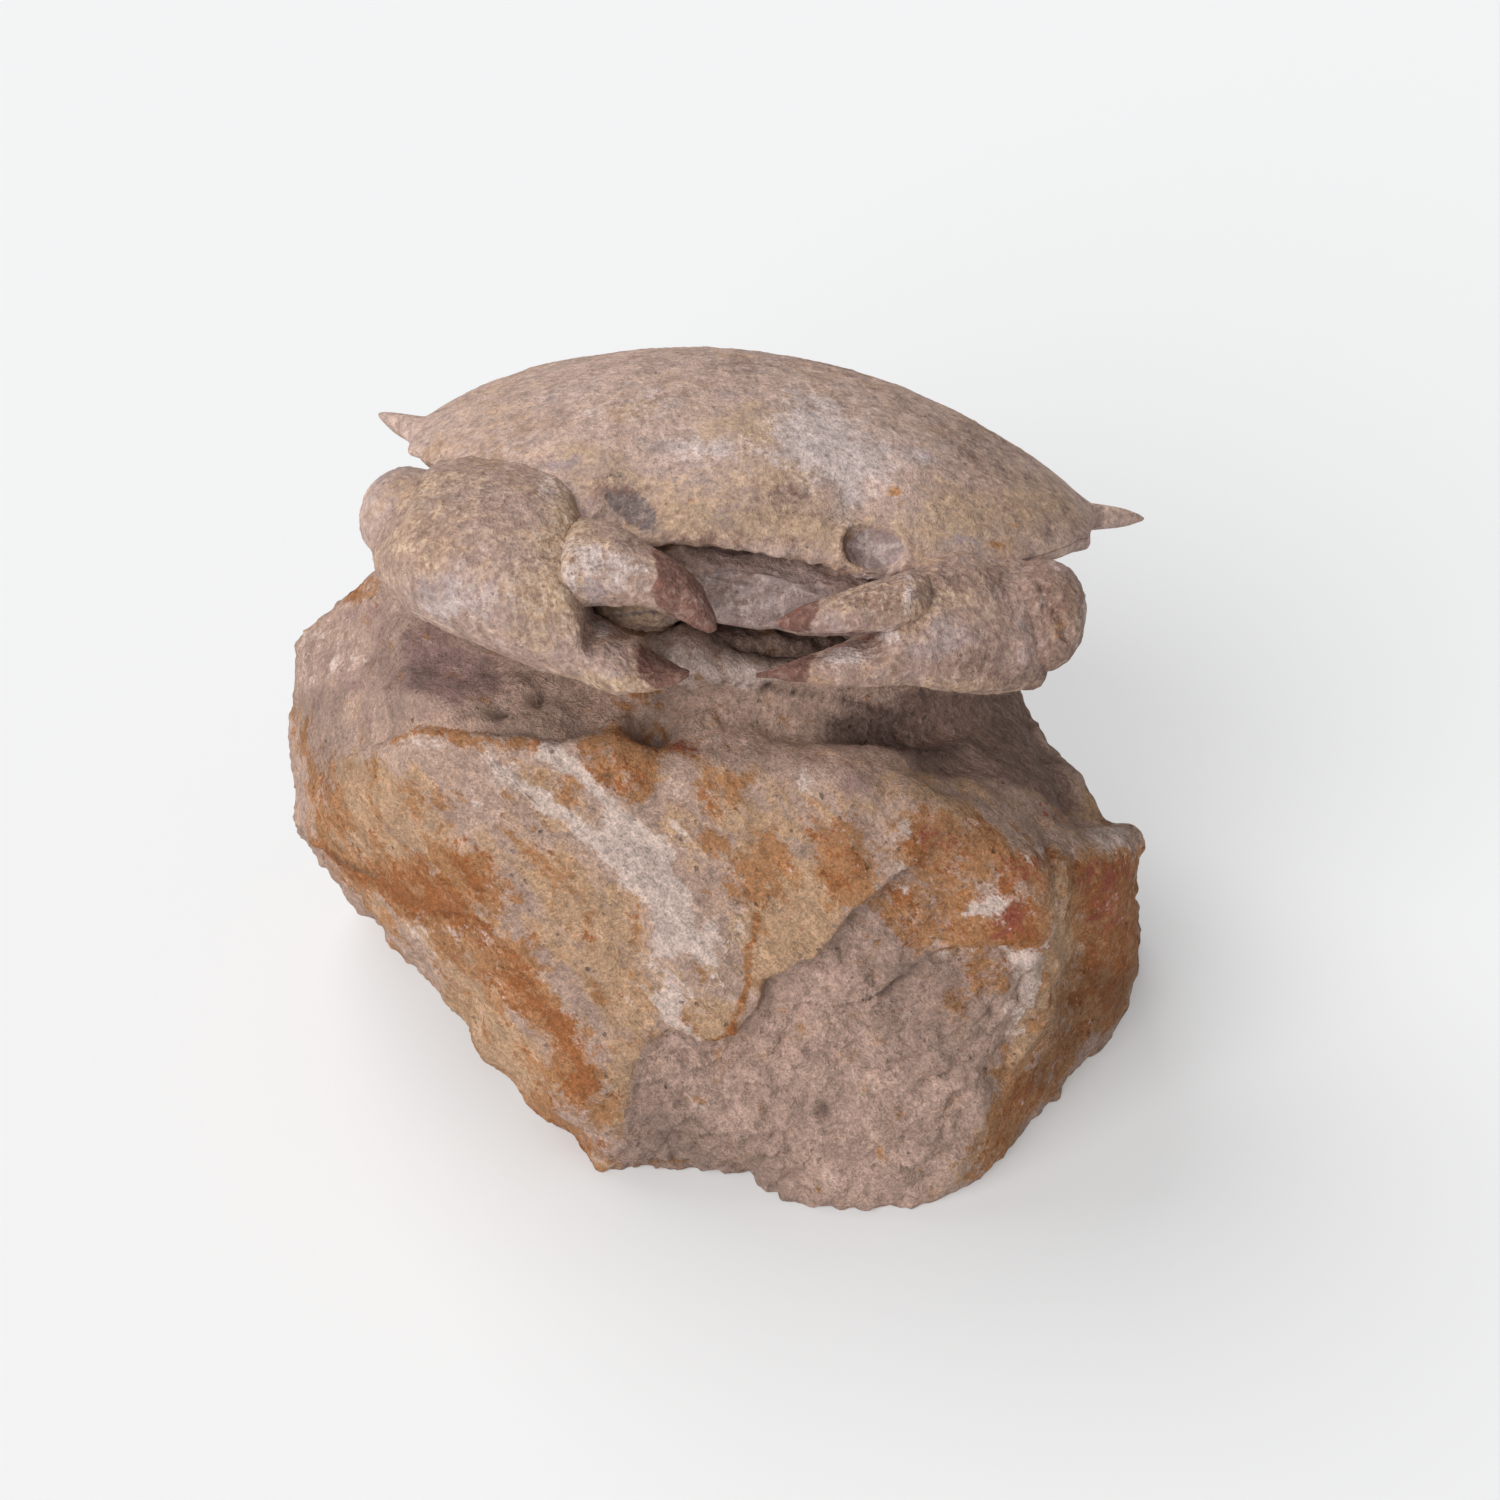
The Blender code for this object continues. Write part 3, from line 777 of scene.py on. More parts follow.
# The grey hollow where a flake has come off the front, clockwise from its top
GREY_BREAK = (
    (912, 873), (945, 905), (958, 949), (1018, 945), (1036, 985), (1020, 1060), (985, 1120),
    (955, 1175), (900, 1215), (820, 1230), (740, 1215), (690, 1190), (612, 1180), (622, 1110),
    (640, 1046), (680, 1030), (722, 1040), (745, 1030), (758, 1002), (768, 978), (816, 958),
    (853, 912),
)

# The pixels over which its edge falls, the way its small steps go down, how far apart they are,
# and how short the rise between them is, then the way that folds run down the front
BREAK_EDGE = (-6, 12)
BREAK_DOWNHILL = (0.62, -0.25, -0.74)
BREAK_STEP = 8.0
BREAK_RISE = 0.1
FLANK_WAY = (0.62, -0.42, -0.64)


def carve_stone(rings):
    """The stone's surface broken up: hollows and hills, scarps, then roughness.

    Each moves the points along the outward direction, by a bell, a step or a sawtooth of the place
    where they are seen. Away from the camera only its outline and roughness shape it. In the grey
    break the surface goes down in small steps, a rounded sawtooth along one way, and elsewhere it
    is folded in crests drawn out along the flank. What would go under the floor is laid on it.
    """
    outward = outward_of(rings)
    seen = seen_at(rings + CENTRING) + HILL_SWAY * sway(rings, 8, 4, 21, 0.6)
    front = faces_camera(rings + CENTRING, outward)
    hills = spots(seen, STONE_HILLS.values())
    edges = spots(seen, STONE_EDGES.values())
    steps = sum(height * scarp(seen, line, fall) for line, height, fall in SCARPS.values())
    broken = filled(seen, GREY_BREAK, *BREAK_EDGE) * front
    away = 1 - front
    bare = np.clip(broken + 0.7 * away, 0, 1)
    downhill = (rings @ np.array(BREAK_DOWNHILL)) / BREAK_STEP + 1.7 * rough(rings, 13, 4, 61, 0.6)
    sawtooth = downhill - terraces(downhill, BREAK_RISE)
    move = front * (hills - steps) + edges - broken + bare * 0.9 * sawtooth
    move = move + (0.6 + 1.4 * away) * chips(rings, 15, 31) + (0.4 + 0.6 * bare) * chips(rings, 5, 35)
    move = move + 0.8 * rough(rings, 14, 2, 41) + (0.28 + 0.34 * bare) * rough(rings, 3.0, 4, 43, 0.68)
    folds = crags(drawn_along(rings, FLANK_WAY, 0.8), 5.0, 3, 49, 0.6)
    move = move + 0.3 * (1 - bare) * folds + (0.3 + 0.2 * bare) * chips(rings, 2.4, 47)
    rings = rings + move[..., None] * outward
    below = np.maximum(-rings[..., 2:], 0)
    rings = rings - below * (outward * (1, 1, 0) - (0, 0, 1))
    return rings, seen, front, broken


def closed_mesh(name, rings):
    """A grid of rings as one closed mesh: bands of four-sided faces, and a point at either end
    with a fan of triangles. The order of the corners is the one whose volume is positive."""
    rows, columns = rings.shape[:2]
    points = np.vstack([rings.reshape(-1, 3), rings[0].mean(0), rings[-1].mean(0)])
    row, column = np.meshgrid(np.arange(rows - 1), np.arange(columns), indexing="ij")
    after = (column + 1) % columns
    corners = [row * columns + column, row * columns + after]
    corners += [(row + 1) * columns + after, (row + 1) * columns + column]
    quads = np.stack(corners, -1).reshape(-1, 4)
    side = np.arange(columns)
    beside = (side + 1) % columns
    base = (rows - 1) * columns
    first = np.stack([np.full(columns, rows * columns), beside, side], -1)
    last = np.stack([np.full(columns, rows * columns + 1), base + side, base + beside], -1)
    fans = np.vstack([first, last])
    a, b, c = (points[quads[:, k]] for k in (0, 1, 2))
    if np.einsum("ij,ij->", a - points.mean(0), np.cross(b - a, c - a)) < 0:
        quads = quads[:, ::-1]
        fans = fans[:, ::-1]
    mesh = bpy.data.meshes.new(name)
    mesh.vertices.add(len(points))
    mesh.vertices.foreach_set("co", (points * MM).ravel())
    mesh.loops.add(quads.size + fans.size)
    mesh.loops.foreach_set("vertex_index", np.concatenate([quads.ravel(), fans.ravel()]))
    mesh.polygons.add(len(quads) + len(fans))
    starts = np.concatenate([4 * np.arange(len(quads)), quads.size + 3 * np.arange(len(fans))])
    mesh.polygons.foreach_set("loop_start", starts)
    mesh.update(calc_edges=True)
    mesh.shade_smooth()
    return mesh


def put_marks(mesh, name, channels):
    """Keeps up to four masks, each one value for each point, as a colour attribute of the mesh."""
    rows, columns = channels[0].shape
    values = np.zeros((rows * columns + 2, 4), np.float32)
    for k, channel in enumerate(channels):
        values[:-2, k] = channel.ravel()
        values[-2, k] = channel[0].mean()
        values[-1, k] = channel[-1].mean()
    layer = mesh.color_attributes.new(name, "FLOAT_COLOR", "POINT")
    layer.data.foreach_set("color", values.ravel())


def add_object(name, data):
    """A new object of the scene."""
    thing = bpy.data.objects.new(name, data)
    bpy.context.scene.collection.objects.link(thing)
    return thing


def add_piece(node, rings, marks, material):
    """A finished piece that stands for one node of the frame and rides with it."""
    mesh = closed_mesh(node, rings)
    for name, channels in marks.items():
        put_marks(mesh, name, channels)
    mesh.materials.append(material)
    piece = add_object(node + "_fossil", mesh)
    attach(piece, "root")
    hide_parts(node)


# How rough stone and shell are to the light, and how much of it they mirror
STONE_MATTNESS = 0.9
SHELL_MATTNESS = 0.78
SHEEN = 0.25


class Finish:
    """A matt material, whose nodes are added by short calls. Sizes in it are in millimetres."""

    def __init__(self, name, roughness, colour):
        self.colour = colour
        self.material = bpy.data.materials.new(name)
        self.material.use_nodes = True
        self.shader = self.material.node_tree.nodes["Principled BSDF"]
        self.shader.inputs["Roughness"].default_value = roughness
        self.shader.inputs["Specular IOR Level"].default_value = SHEEN
        self.place = self.node("TexCoord", {})["Object"]

    def join(self, socket, value):
        """Links an output to a socket, or sets the socket to a plain value."""
        if isinstance(value, bpy.types.NodeSocket):
            self.material.node_tree.links.new(value, socket)
        else:
            socket.default_value = value

    def node(self, kind, inputs, **settings):
        """The outputs of a new node of a kind, with its settings made and its inputs joined."""
        node = self.material.node_tree.nodes.new("ShaderNode" + kind)
        for name, value in settings.items():
            setattr(node, name, value)
        for name, value in inputs.items():
            self.join(node.inputs[name], value)
        return node.outputs

    def drawn_out(self, lengths, turn, place=None):
        """Coordinates whose patterns come out turned, and longer along their own axes."""
        inputs = {"Scale": lengths, "Rotation": np.radians(turn), "Vector": place or self.place}
        return self.node("Mapping", inputs, vector_type="TEXTURE")["Vector"]

    def noise(self, size, detail, fade, place=None):
        """Noise of a size: its value, and three more values like it."""
        inputs = {"Scale": 1 / (size * MM), "Detail": detail, "Roughness": fade}
        outputs = self.node("TexNoise", {**inputs, "Vector": place or self.place})
        return [outputs["Fac"], *self.parts(outputs["Color"])]

    def warped(self, size, amount):
        """Object coordinates pushed about by noise of a size, by up to an amount."""
        push = self.node("TexNoise", {"Scale": 1 / (size * MM), "Vector": self.place})["Color"]
        inputs = {0: push, 1: [2 * amount * MM] * 3, 2: self.place}
        return self.node("VectorMath", inputs, operation="MULTIPLY_ADD")["Vector"]

    def specks(self, size, share, radius):
        """Round specks at a share of points scattered about a size apart: 1 in a speck and 0
        around it, by the distance to the nearest point and a random value of its own."""
        place = self.warped(0.6 * size, 0.25 * size)
        nearest = self.node("TexVoronoi", {"Scale": 1 / (size * MM), "Vector": place})
        chance = self.parts(nearest["Color"])[0]
        round_part = self.step(nearest["Distance"], 0.5 * radius, radius, 1.0, 0.0)
        return self.sum(round_part, self.step(chance, share - 0.01, share, 1.0, 0.0), "MULTIPLY")

    def parts(self, colour):
        """The three values of a colour."""
        outputs = self.node("SeparateColor", {"Color": colour})
        return [outputs[name] for name in ("Red", "Green", "Blue")]

    def marks(self, name):
        """The four masks kept in a colour attribute of the mesh."""
        outputs = self.node("Attribute", {}, attribute_name=name)
        return [*self.parts(outputs["Color"]), outputs["Alpha"]]

    def sum(self, a, b, operation, *more):
        """Arithmetic on values."""
        return self.node("Math", dict(enumerate((a, b, *more))), operation=operation)["Value"]

    def step(self, value, low, high, start=0.0, end=1.0):
        """An S-shaped rise from start to end as the value goes from low to high."""
        inputs = {"From Min": low, "From Max": high, "To Min": start, "To Max": end, "Value": value}
        return self.node("MapRange", inputs, interpolation_type="SMOOTHSTEP")["Result"]

    def stain(self, mask, low, high, *noises):
        """A mask broken up by noises, each with its amount, as a share that rises from low to high."""
        value = mask
        middle = 0
        for noise, amount in noises:
            value = self.sum(noise, amount, "MULTIPLY_ADD", value)
            middle = middle + 0.5 * amount
        return self.step(value, low + middle, high + middle)

    def mix(self, share, a, b):
        """Colour a with a share of colour b."""
        a, b = (c if isinstance(c, bpy.types.NodeSocket) else (*c, 1.0) for c in (a, b))
        return self.node("Mix", {"Factor": share, 6: a, 7: b}, data_type="RGBA")[2]

    def cover(self, share, tint):
        """Lays a share of a tint over the colour so far."""
        self.colour = self.mix(share, self.colour, tint)

    def layer(self, tint, *stain):
        """Lays a tint over the colour so far as a stain, and gives the stain."""
        share = self.stain(*stain)
        self.cover(share, tint)
        return share

    def shade(self, *values):
        """Makes the colour so far lighter or darker by values."""
        for value in values:
            inputs = {0: self.colour, "Scale": value}
            self.colour = self.node("VectorMath", inputs, operation="SCALE")["Vector"]

    def finish(self, heights):
        """Gives the material its colour and its bumps: each a height from 0 to 1 and its depth."""
        self.join(self.shader.inputs["Base Color"], self.colour)
        normal = {}
        for height, depth in heights:
            bump = self.node("Bump", {"Distance": depth * MM, "Height": height, **normal})
            normal = {"Normal": bump["Normal"]}
        self.join(self.shader.inputs["Normal"], normal["Normal"])
        return self.material


# The stone's colours, from its clouds to its stains and the dark slope under the small claw, and last
# the painted shade of holes, cracks and gaps
PINK_GREY = (0.53, 0.36, 0.285)
MAUVE = (0.385, 0.245, 0.215)
TAN = (0.54, 0.34, 0.21)
OCHRE = (0.455, 0.225, 0.105)
ORANGE = (0.35, 0.13, 0.046)
RED_BROWN = (0.30, 0.085, 0.05)
PALE_CRUST = (0.66, 0.51, 0.445)
GREY_ROCK = (0.52, 0.35, 0.285)
OLIVE_GREY = (0.28, 0.17, 0.13)
OLIVE_PALE = (0.42, 0.29, 0.245)
# Painted shade for holes, cracks and the gap under the mouth
PAINTED_HOLE_SHADE = (0.07, 0.045, 0.035)


def stone_finish():
    """Sandy stone: pink-grey and tan in clouds, stained ochre, orange and red, with pale crust.

    Every stain is a mask with noise added at several sizes, so its edge frays into specks. Thin
    dark creases follow the middle values of noise drawn out along the flank.
    """
    f = Finish("sandy_stone", STONE_MATTNESS, PINK_GREY)
    cloud_a, cloud_b = f.noise(16, 5, 0.6)[1:3]
    patch, patch_a, patch_b, patch_c = f.noise(4.5, 9, 0.66)
    grain, grain_a, grain_b, grain_c = f.noise(1.0, 5, 0.76)
    dust = f.noise(0.4, 2, 0.7)[0]
    along = f.drawn_out((4.5, 1.0, 1.0), (0.0, 40.0, -34.0))
    fold, fold_a, fold_b, fold_c = f.noise(3.0, 7, 0.66, along)
    orange, red, pale, tan = f.marks("stains")
    grey, olive, dark, mauve = f.marks("breaks")
    # Painted shade, kept as a mask of the mesh
    painted_shade = f.marks("painted_shading")[0]
    f.layer(TAN, tan, 0.3, 0.7, (fold_a, 2.4), (cloud_a, 1.5))
    f.layer(MAUVE, mauve, 0.35, 0.85, (patch_b, 2.0), (grain_a, 1.0))
    rock = f.mix(f.stain(0.4, 0.2, 0.8, (patch_c, 2.6), (grain_b, 1.6)), GREY_ROCK, PINK_GREY)
    f.layer(rock, grey, 0.3, 0.7, (patch_b, 0.9), (grain_c, 0.5))
    f.layer(OCHRE, orange, 0.3, 0.8, (patch_c, 3.0), (fold_b, 2.0), (grain_b, 1.6))
    f.layer(ORANGE, orange, 0.8, 1.35, (patch_a, 3.6), (fold_c, 2.6), (grain_c, 3.0))
    f.layer(RED_BROWN, red, 0.6, 1.2, (patch_b, 3.2), (grain_a, 3.2))
    f.layer(PALE_CRUST, pale, 0.4, 0.9, (fold_a, 2.4), (patch_a, 1.8), (grain_b, 1.8))
    down_slope = f.drawn_out((5.0, 1.0, 1.0), (0.0, 35.0, -14.0))
    streak = f.noise(0.9, 5, 0.66, down_slope)[0]
    slope = f.mix(f.step(streak, 0.36, 0.74), OLIVE_GREY, OLIVE_PALE)
    f.layer(slope, olive, 0.2, 0.8, (patch_c, 1.6))
    # Painted shade in holes, cracks and the gap under the mouth
    f.cover(dark, PAINTED_HOLE_SHADE)
    holes = f.specks(2.3, 0.22, 0.2)
    crystals = f.specks(1.1, 0.25, 0.25)
    f.cover(f.sum(crystals, 0.4, "MULTIPLY"), PALE_CRUST)
    middle_line = f.step(f.sum(fold, 0.5, "COMPARE", 0.01), 0.0, 1.0)
    crease = f.sum(middle_line, f.step(cloud_b, 0.48, 0.58), "MULTIPLY")
    f.shade(
        f.step(patch, 0.3, 0.68, 0.86, 1.12),
        f.step(fold, 0.3, 0.7, 0.9, 1.1),
        f.step(grain, 0.32, 0.68, 0.76, 1.26),
        f.step(dust, 0.28, 0.72, 0.8, 1.22),
        f.sum(holes, -0.45, "MULTIPLY_ADD", 1.0),
        f.sum(crease, -0.35, "MULTIPLY_ADD", 1.0),
        # painted shade
        f.sum(painted_shade, -0.5, "MULTIPLY_ADD", 1.0),
    )
    coarse = f.sum(patch, f.step(grey, 0.0, 1.0, 0.6, 1.0), "MULTIPLY")
    striped = f.sum(streak, olive, "MULTIPLY")
    hollow = f.sum(holes, -1.0, "MULTIPLY")
    bumps = ((coarse, 1.2), (fold, 0.9), (grain, 0.65), (dust, 0.22), (striped, 0.5), (hollow, 0.2))
    return f.finish(bumps)


# The shell's colours: the ground of each piece, then what blotches it
SHELL_PINK = (0.56, 0.395, 0.33)
BIG_CLAW_PINK = (0.44, 0.295, 0.24)
SMALL_CLAW_PINK = (0.40, 0.265, 0.22)
BIG_WRIST_PINK = (0.51, 0.365, 0.32)
SMALL_WRIST_BROWN = (0.30, 0.19, 0.15)
UNDERSIDE_PINK = (0.36, 0.243, 0.215)
SHELL_LILAC = (0.50, 0.37, 0.345)
SHELL_WARM = (0.48, 0.285, 0.155)
SHELL_TAN = (0.49, 0.33, 0.22)
SHELL_GREY = (0.43, 0.32, 0.305)
SHELL_BROWN = (0.265, 0.16, 0.125)
SHELL_WHITE = (0.62, 0.50, 0.47)
BEAD_PALE = (0.64, 0.49, 0.38)
PIT_BROWN = (0.20, 0.11, 0.075)
TIP_BROWN = (0.2, 0.096, 0.074)
TIP_PALE = (0.36, 0.225, 0.19)
# Dark grey of the sockets' fill and cracks, also laid on as painted shade under the shell's edge
SOCKET_GREY_AND_SHADE = (0.205, 0.155, 0.148)


def shell_finish(name, base, beads, mottle):
    """Fossil shell: a ground with lilac, tan, grey, brown and white in blotches, under pale
    worm-like beads with dark pits between them, the high and low parts of fine upright noise. The
    last two values are how strong the beads are, and how strong its lighter and darker parts."""
    f = Finish(name, SHELL_MATTNESS, base)
    cloud_a, cloud_b, cloud_c = f.noise(11, 5, 0.62)[1:]
    patch, patch_a, patch_b, patch_c = f.noise(3.0, 8, 0.7)
    grain, grain_a, grain_b, grain_c = f.noise(1.0, 4, 0.76)
    dust = f.noise(0.4, 2, 0.7)[0]
    tan, grey, brown, white = f.marks("tints")
    tip, dark, orange, red = f.marks("ends")
    f.layer(SHELL_LILAC, 0.1, 0.1, 1.0, (cloud_a, 3.6), (patch_c, 2.4))
    warm = f.stain(0.1, 0.0, 1.0, (cloud_b, 3.0), (patch_b, 3.0), (grain_b, 1.6))
    f.cover(f.sum(warm, 0.65, "MULTIPLY"), SHELL_WARM)
    yellow = f.layer(SHELL_TAN, tan, 0.1, 1.1, (cloud_b, 1.4), (patch_a, 2.2), (grain_a, 1.2))
    f.layer(SHELL_BROWN, brown, 0.2, 1.3, (cloud_c, 1.6), (patch_c, 2.6), (grain_c, 1.8))
    lilac = f.layer(SHELL_GREY, grey, 0.3, 1.0, (cloud_a, 1.4), (patch_b, 2.4), (grain_b, 1.6))
    f.layer(SHELL_WHITE, white, 0.3, 1.1, (patch_c, 2.4), (grain_a, 1.8))
    f.layer(OCHRE, orange, 0.4, 0.9, (patch_a, 1.8), (grain_b, 1.6))
    scuffs = f.stain(0.0, 0.0, 1.0, (cloud_c, 2.4), (patch_b, 3.8), (grain_c, 2.4))
    tips = f.mix(scuffs, TIP_BROWN, TIP_PALE)
    end = f.layer(tips, tip, 0.2, 0.8, (patch_b, 1.2), (grain_a, 1.2))
    f.layer(RED_BROWN, red, 0.3, 1.1, (patch_c, 1.6), (grain_b, 1.6))
    # The sockets' grey fill and cracks, and painted shade on the slope under the shell's edge
    f.layer(SOCKET_GREY_AND_SHADE, dark, 0.2, 1.0, (patch_a, 1.8), (grain_c, 1.8))
    upright = f.drawn_out((1.0, 1.0, 1.8), (0.0, -14.0, 0.0), f.warped(2.5, 0.6))
    grains = f.noise(0.85, 2.5, 0.55, upright)[0]
    share = f.sum(f.step(end, 0.0, 1.0, 1.0, 0.45), f.step(yellow, 0.0, 1.0, 0.5, 1.0), "MULTIPLY")
    bead = f.sum(f.step(grains, 0.5, 0.6), share, "MULTIPLY")
    pit = f.sum(f.step(grains, 0.36, 0.46, 1.0, 0.0), share, "MULTIPLY")
    f.cover(f.sum(bead, 0.55 * beads, "MULTIPLY"), BEAD_PALE)
    f.cover(f.sum(pit, 0.5 * beads, "MULTIPLY"), PIT_BROWN)
    few = f.specks(1.7, 0.3, 0.17)
    pepper = f.sum(lilac, f.step(grain_a, 0.5, 0.6), "MULTIPLY")
    f.shade(
        f.step(patch, 0.3, 0.7, 1 - 0.17 * mottle, 1 + 0.16 * mottle),
        f.step(grain, 0.32, 0.68, 1 - 0.15 * mottle, 1 + 0.14 * mottle),
        f.step(dust, 0.28, 0.72, 0.88, 1.13),
        f.sum(pepper, -0.3, "MULTIPLY_ADD", 1.0),
        f.sum(few, -0.4, "MULTIPLY_ADD", 1.0),
    )
    return f.finish(((patch, 0.45), (grain, 0.35 * mottle), (dust, 0.12), (grains, 0.35 * beads)))


def build_stone(material):
    """The stone with its stains, crust and breaks. Where the photograph doesn't show it, they lie
    in random patches."""
    rings, seen, front, broken = carve_stone(stone_block())
    rings = rings + CENTRING * (1, 1, 0)
    frayed = seen + STAIN_FRAY * sway(rings, 5, 3, 23, 0.7)
    cloud = rough(rings, 22, 3, 51)
    patch = rough(rings, 10, 3, 53)
    bare = rise(rough(rings, 30, 2, 59), 0.0, 0.3)
    away = 1 - front
    crusted = rise(rough(rings, 13, 3, 57), 0.2, 0.6)
    lower = rise(seen[..., 1], *BELOW_SHELF)
    orange = front * (stone_mark(frayed, "orange") + 0.1 * lower * (1 - broken))
    tan = 0.35 + 0.5 * cloud + front * (stone_mark(frayed, "tan") - 0.5 * (1 - lower) - 0.2 * broken)
    stains = (
        orange + away * 0.85 * rise(patch + 0.5 * cloud, 0.0, 0.6),
        front * stone_mark(frayed, "red") + away * 0.6 * rise(-patch, 0.2, 0.7),
        front * stone_mark(frayed, "pale", PALE_SOFTNESS) + away * 0.6 * crusted,
        tan,
    )
    breaks = (
        broken + away * bare,
        front * filled(frayed, DARK_SLOPE, -16, 14),
        # painted shade in holes, cracks and the gap under the mouth
        front * np.clip(stone_mark(seen, "dark", DARK_SOFTNESS), 0, 1),
        front * stone_mark(frayed, "mauve") + away * 0.4 * rise(cloud, 0.1, 0.5),
    )
    # Painted shade: the marked patches, and a little over everything that faces away from the camera
    painted_shading = (front * stone_mark(seen, "painted_shade") + 0.25 * away,)
    marks = {"stains": stains, "breaks": breaks, "painted_shading": painted_shading}
    add_piece("matrix_stone", rings, marks, material)


# The rows of the photograph between which the stone's shelf gives way to its front
BELOW_SHELF = (735, 790)

# The dark slope that runs down to the right under the small claw
DARK_SLOPE = (
    (900, 692), (1030, 690), (1060, 735), (1098, 795), (1075, 800), (1030, 790), (980, 780),
    (930, 762), (870, 750), (830, 735), (860, 712),
)

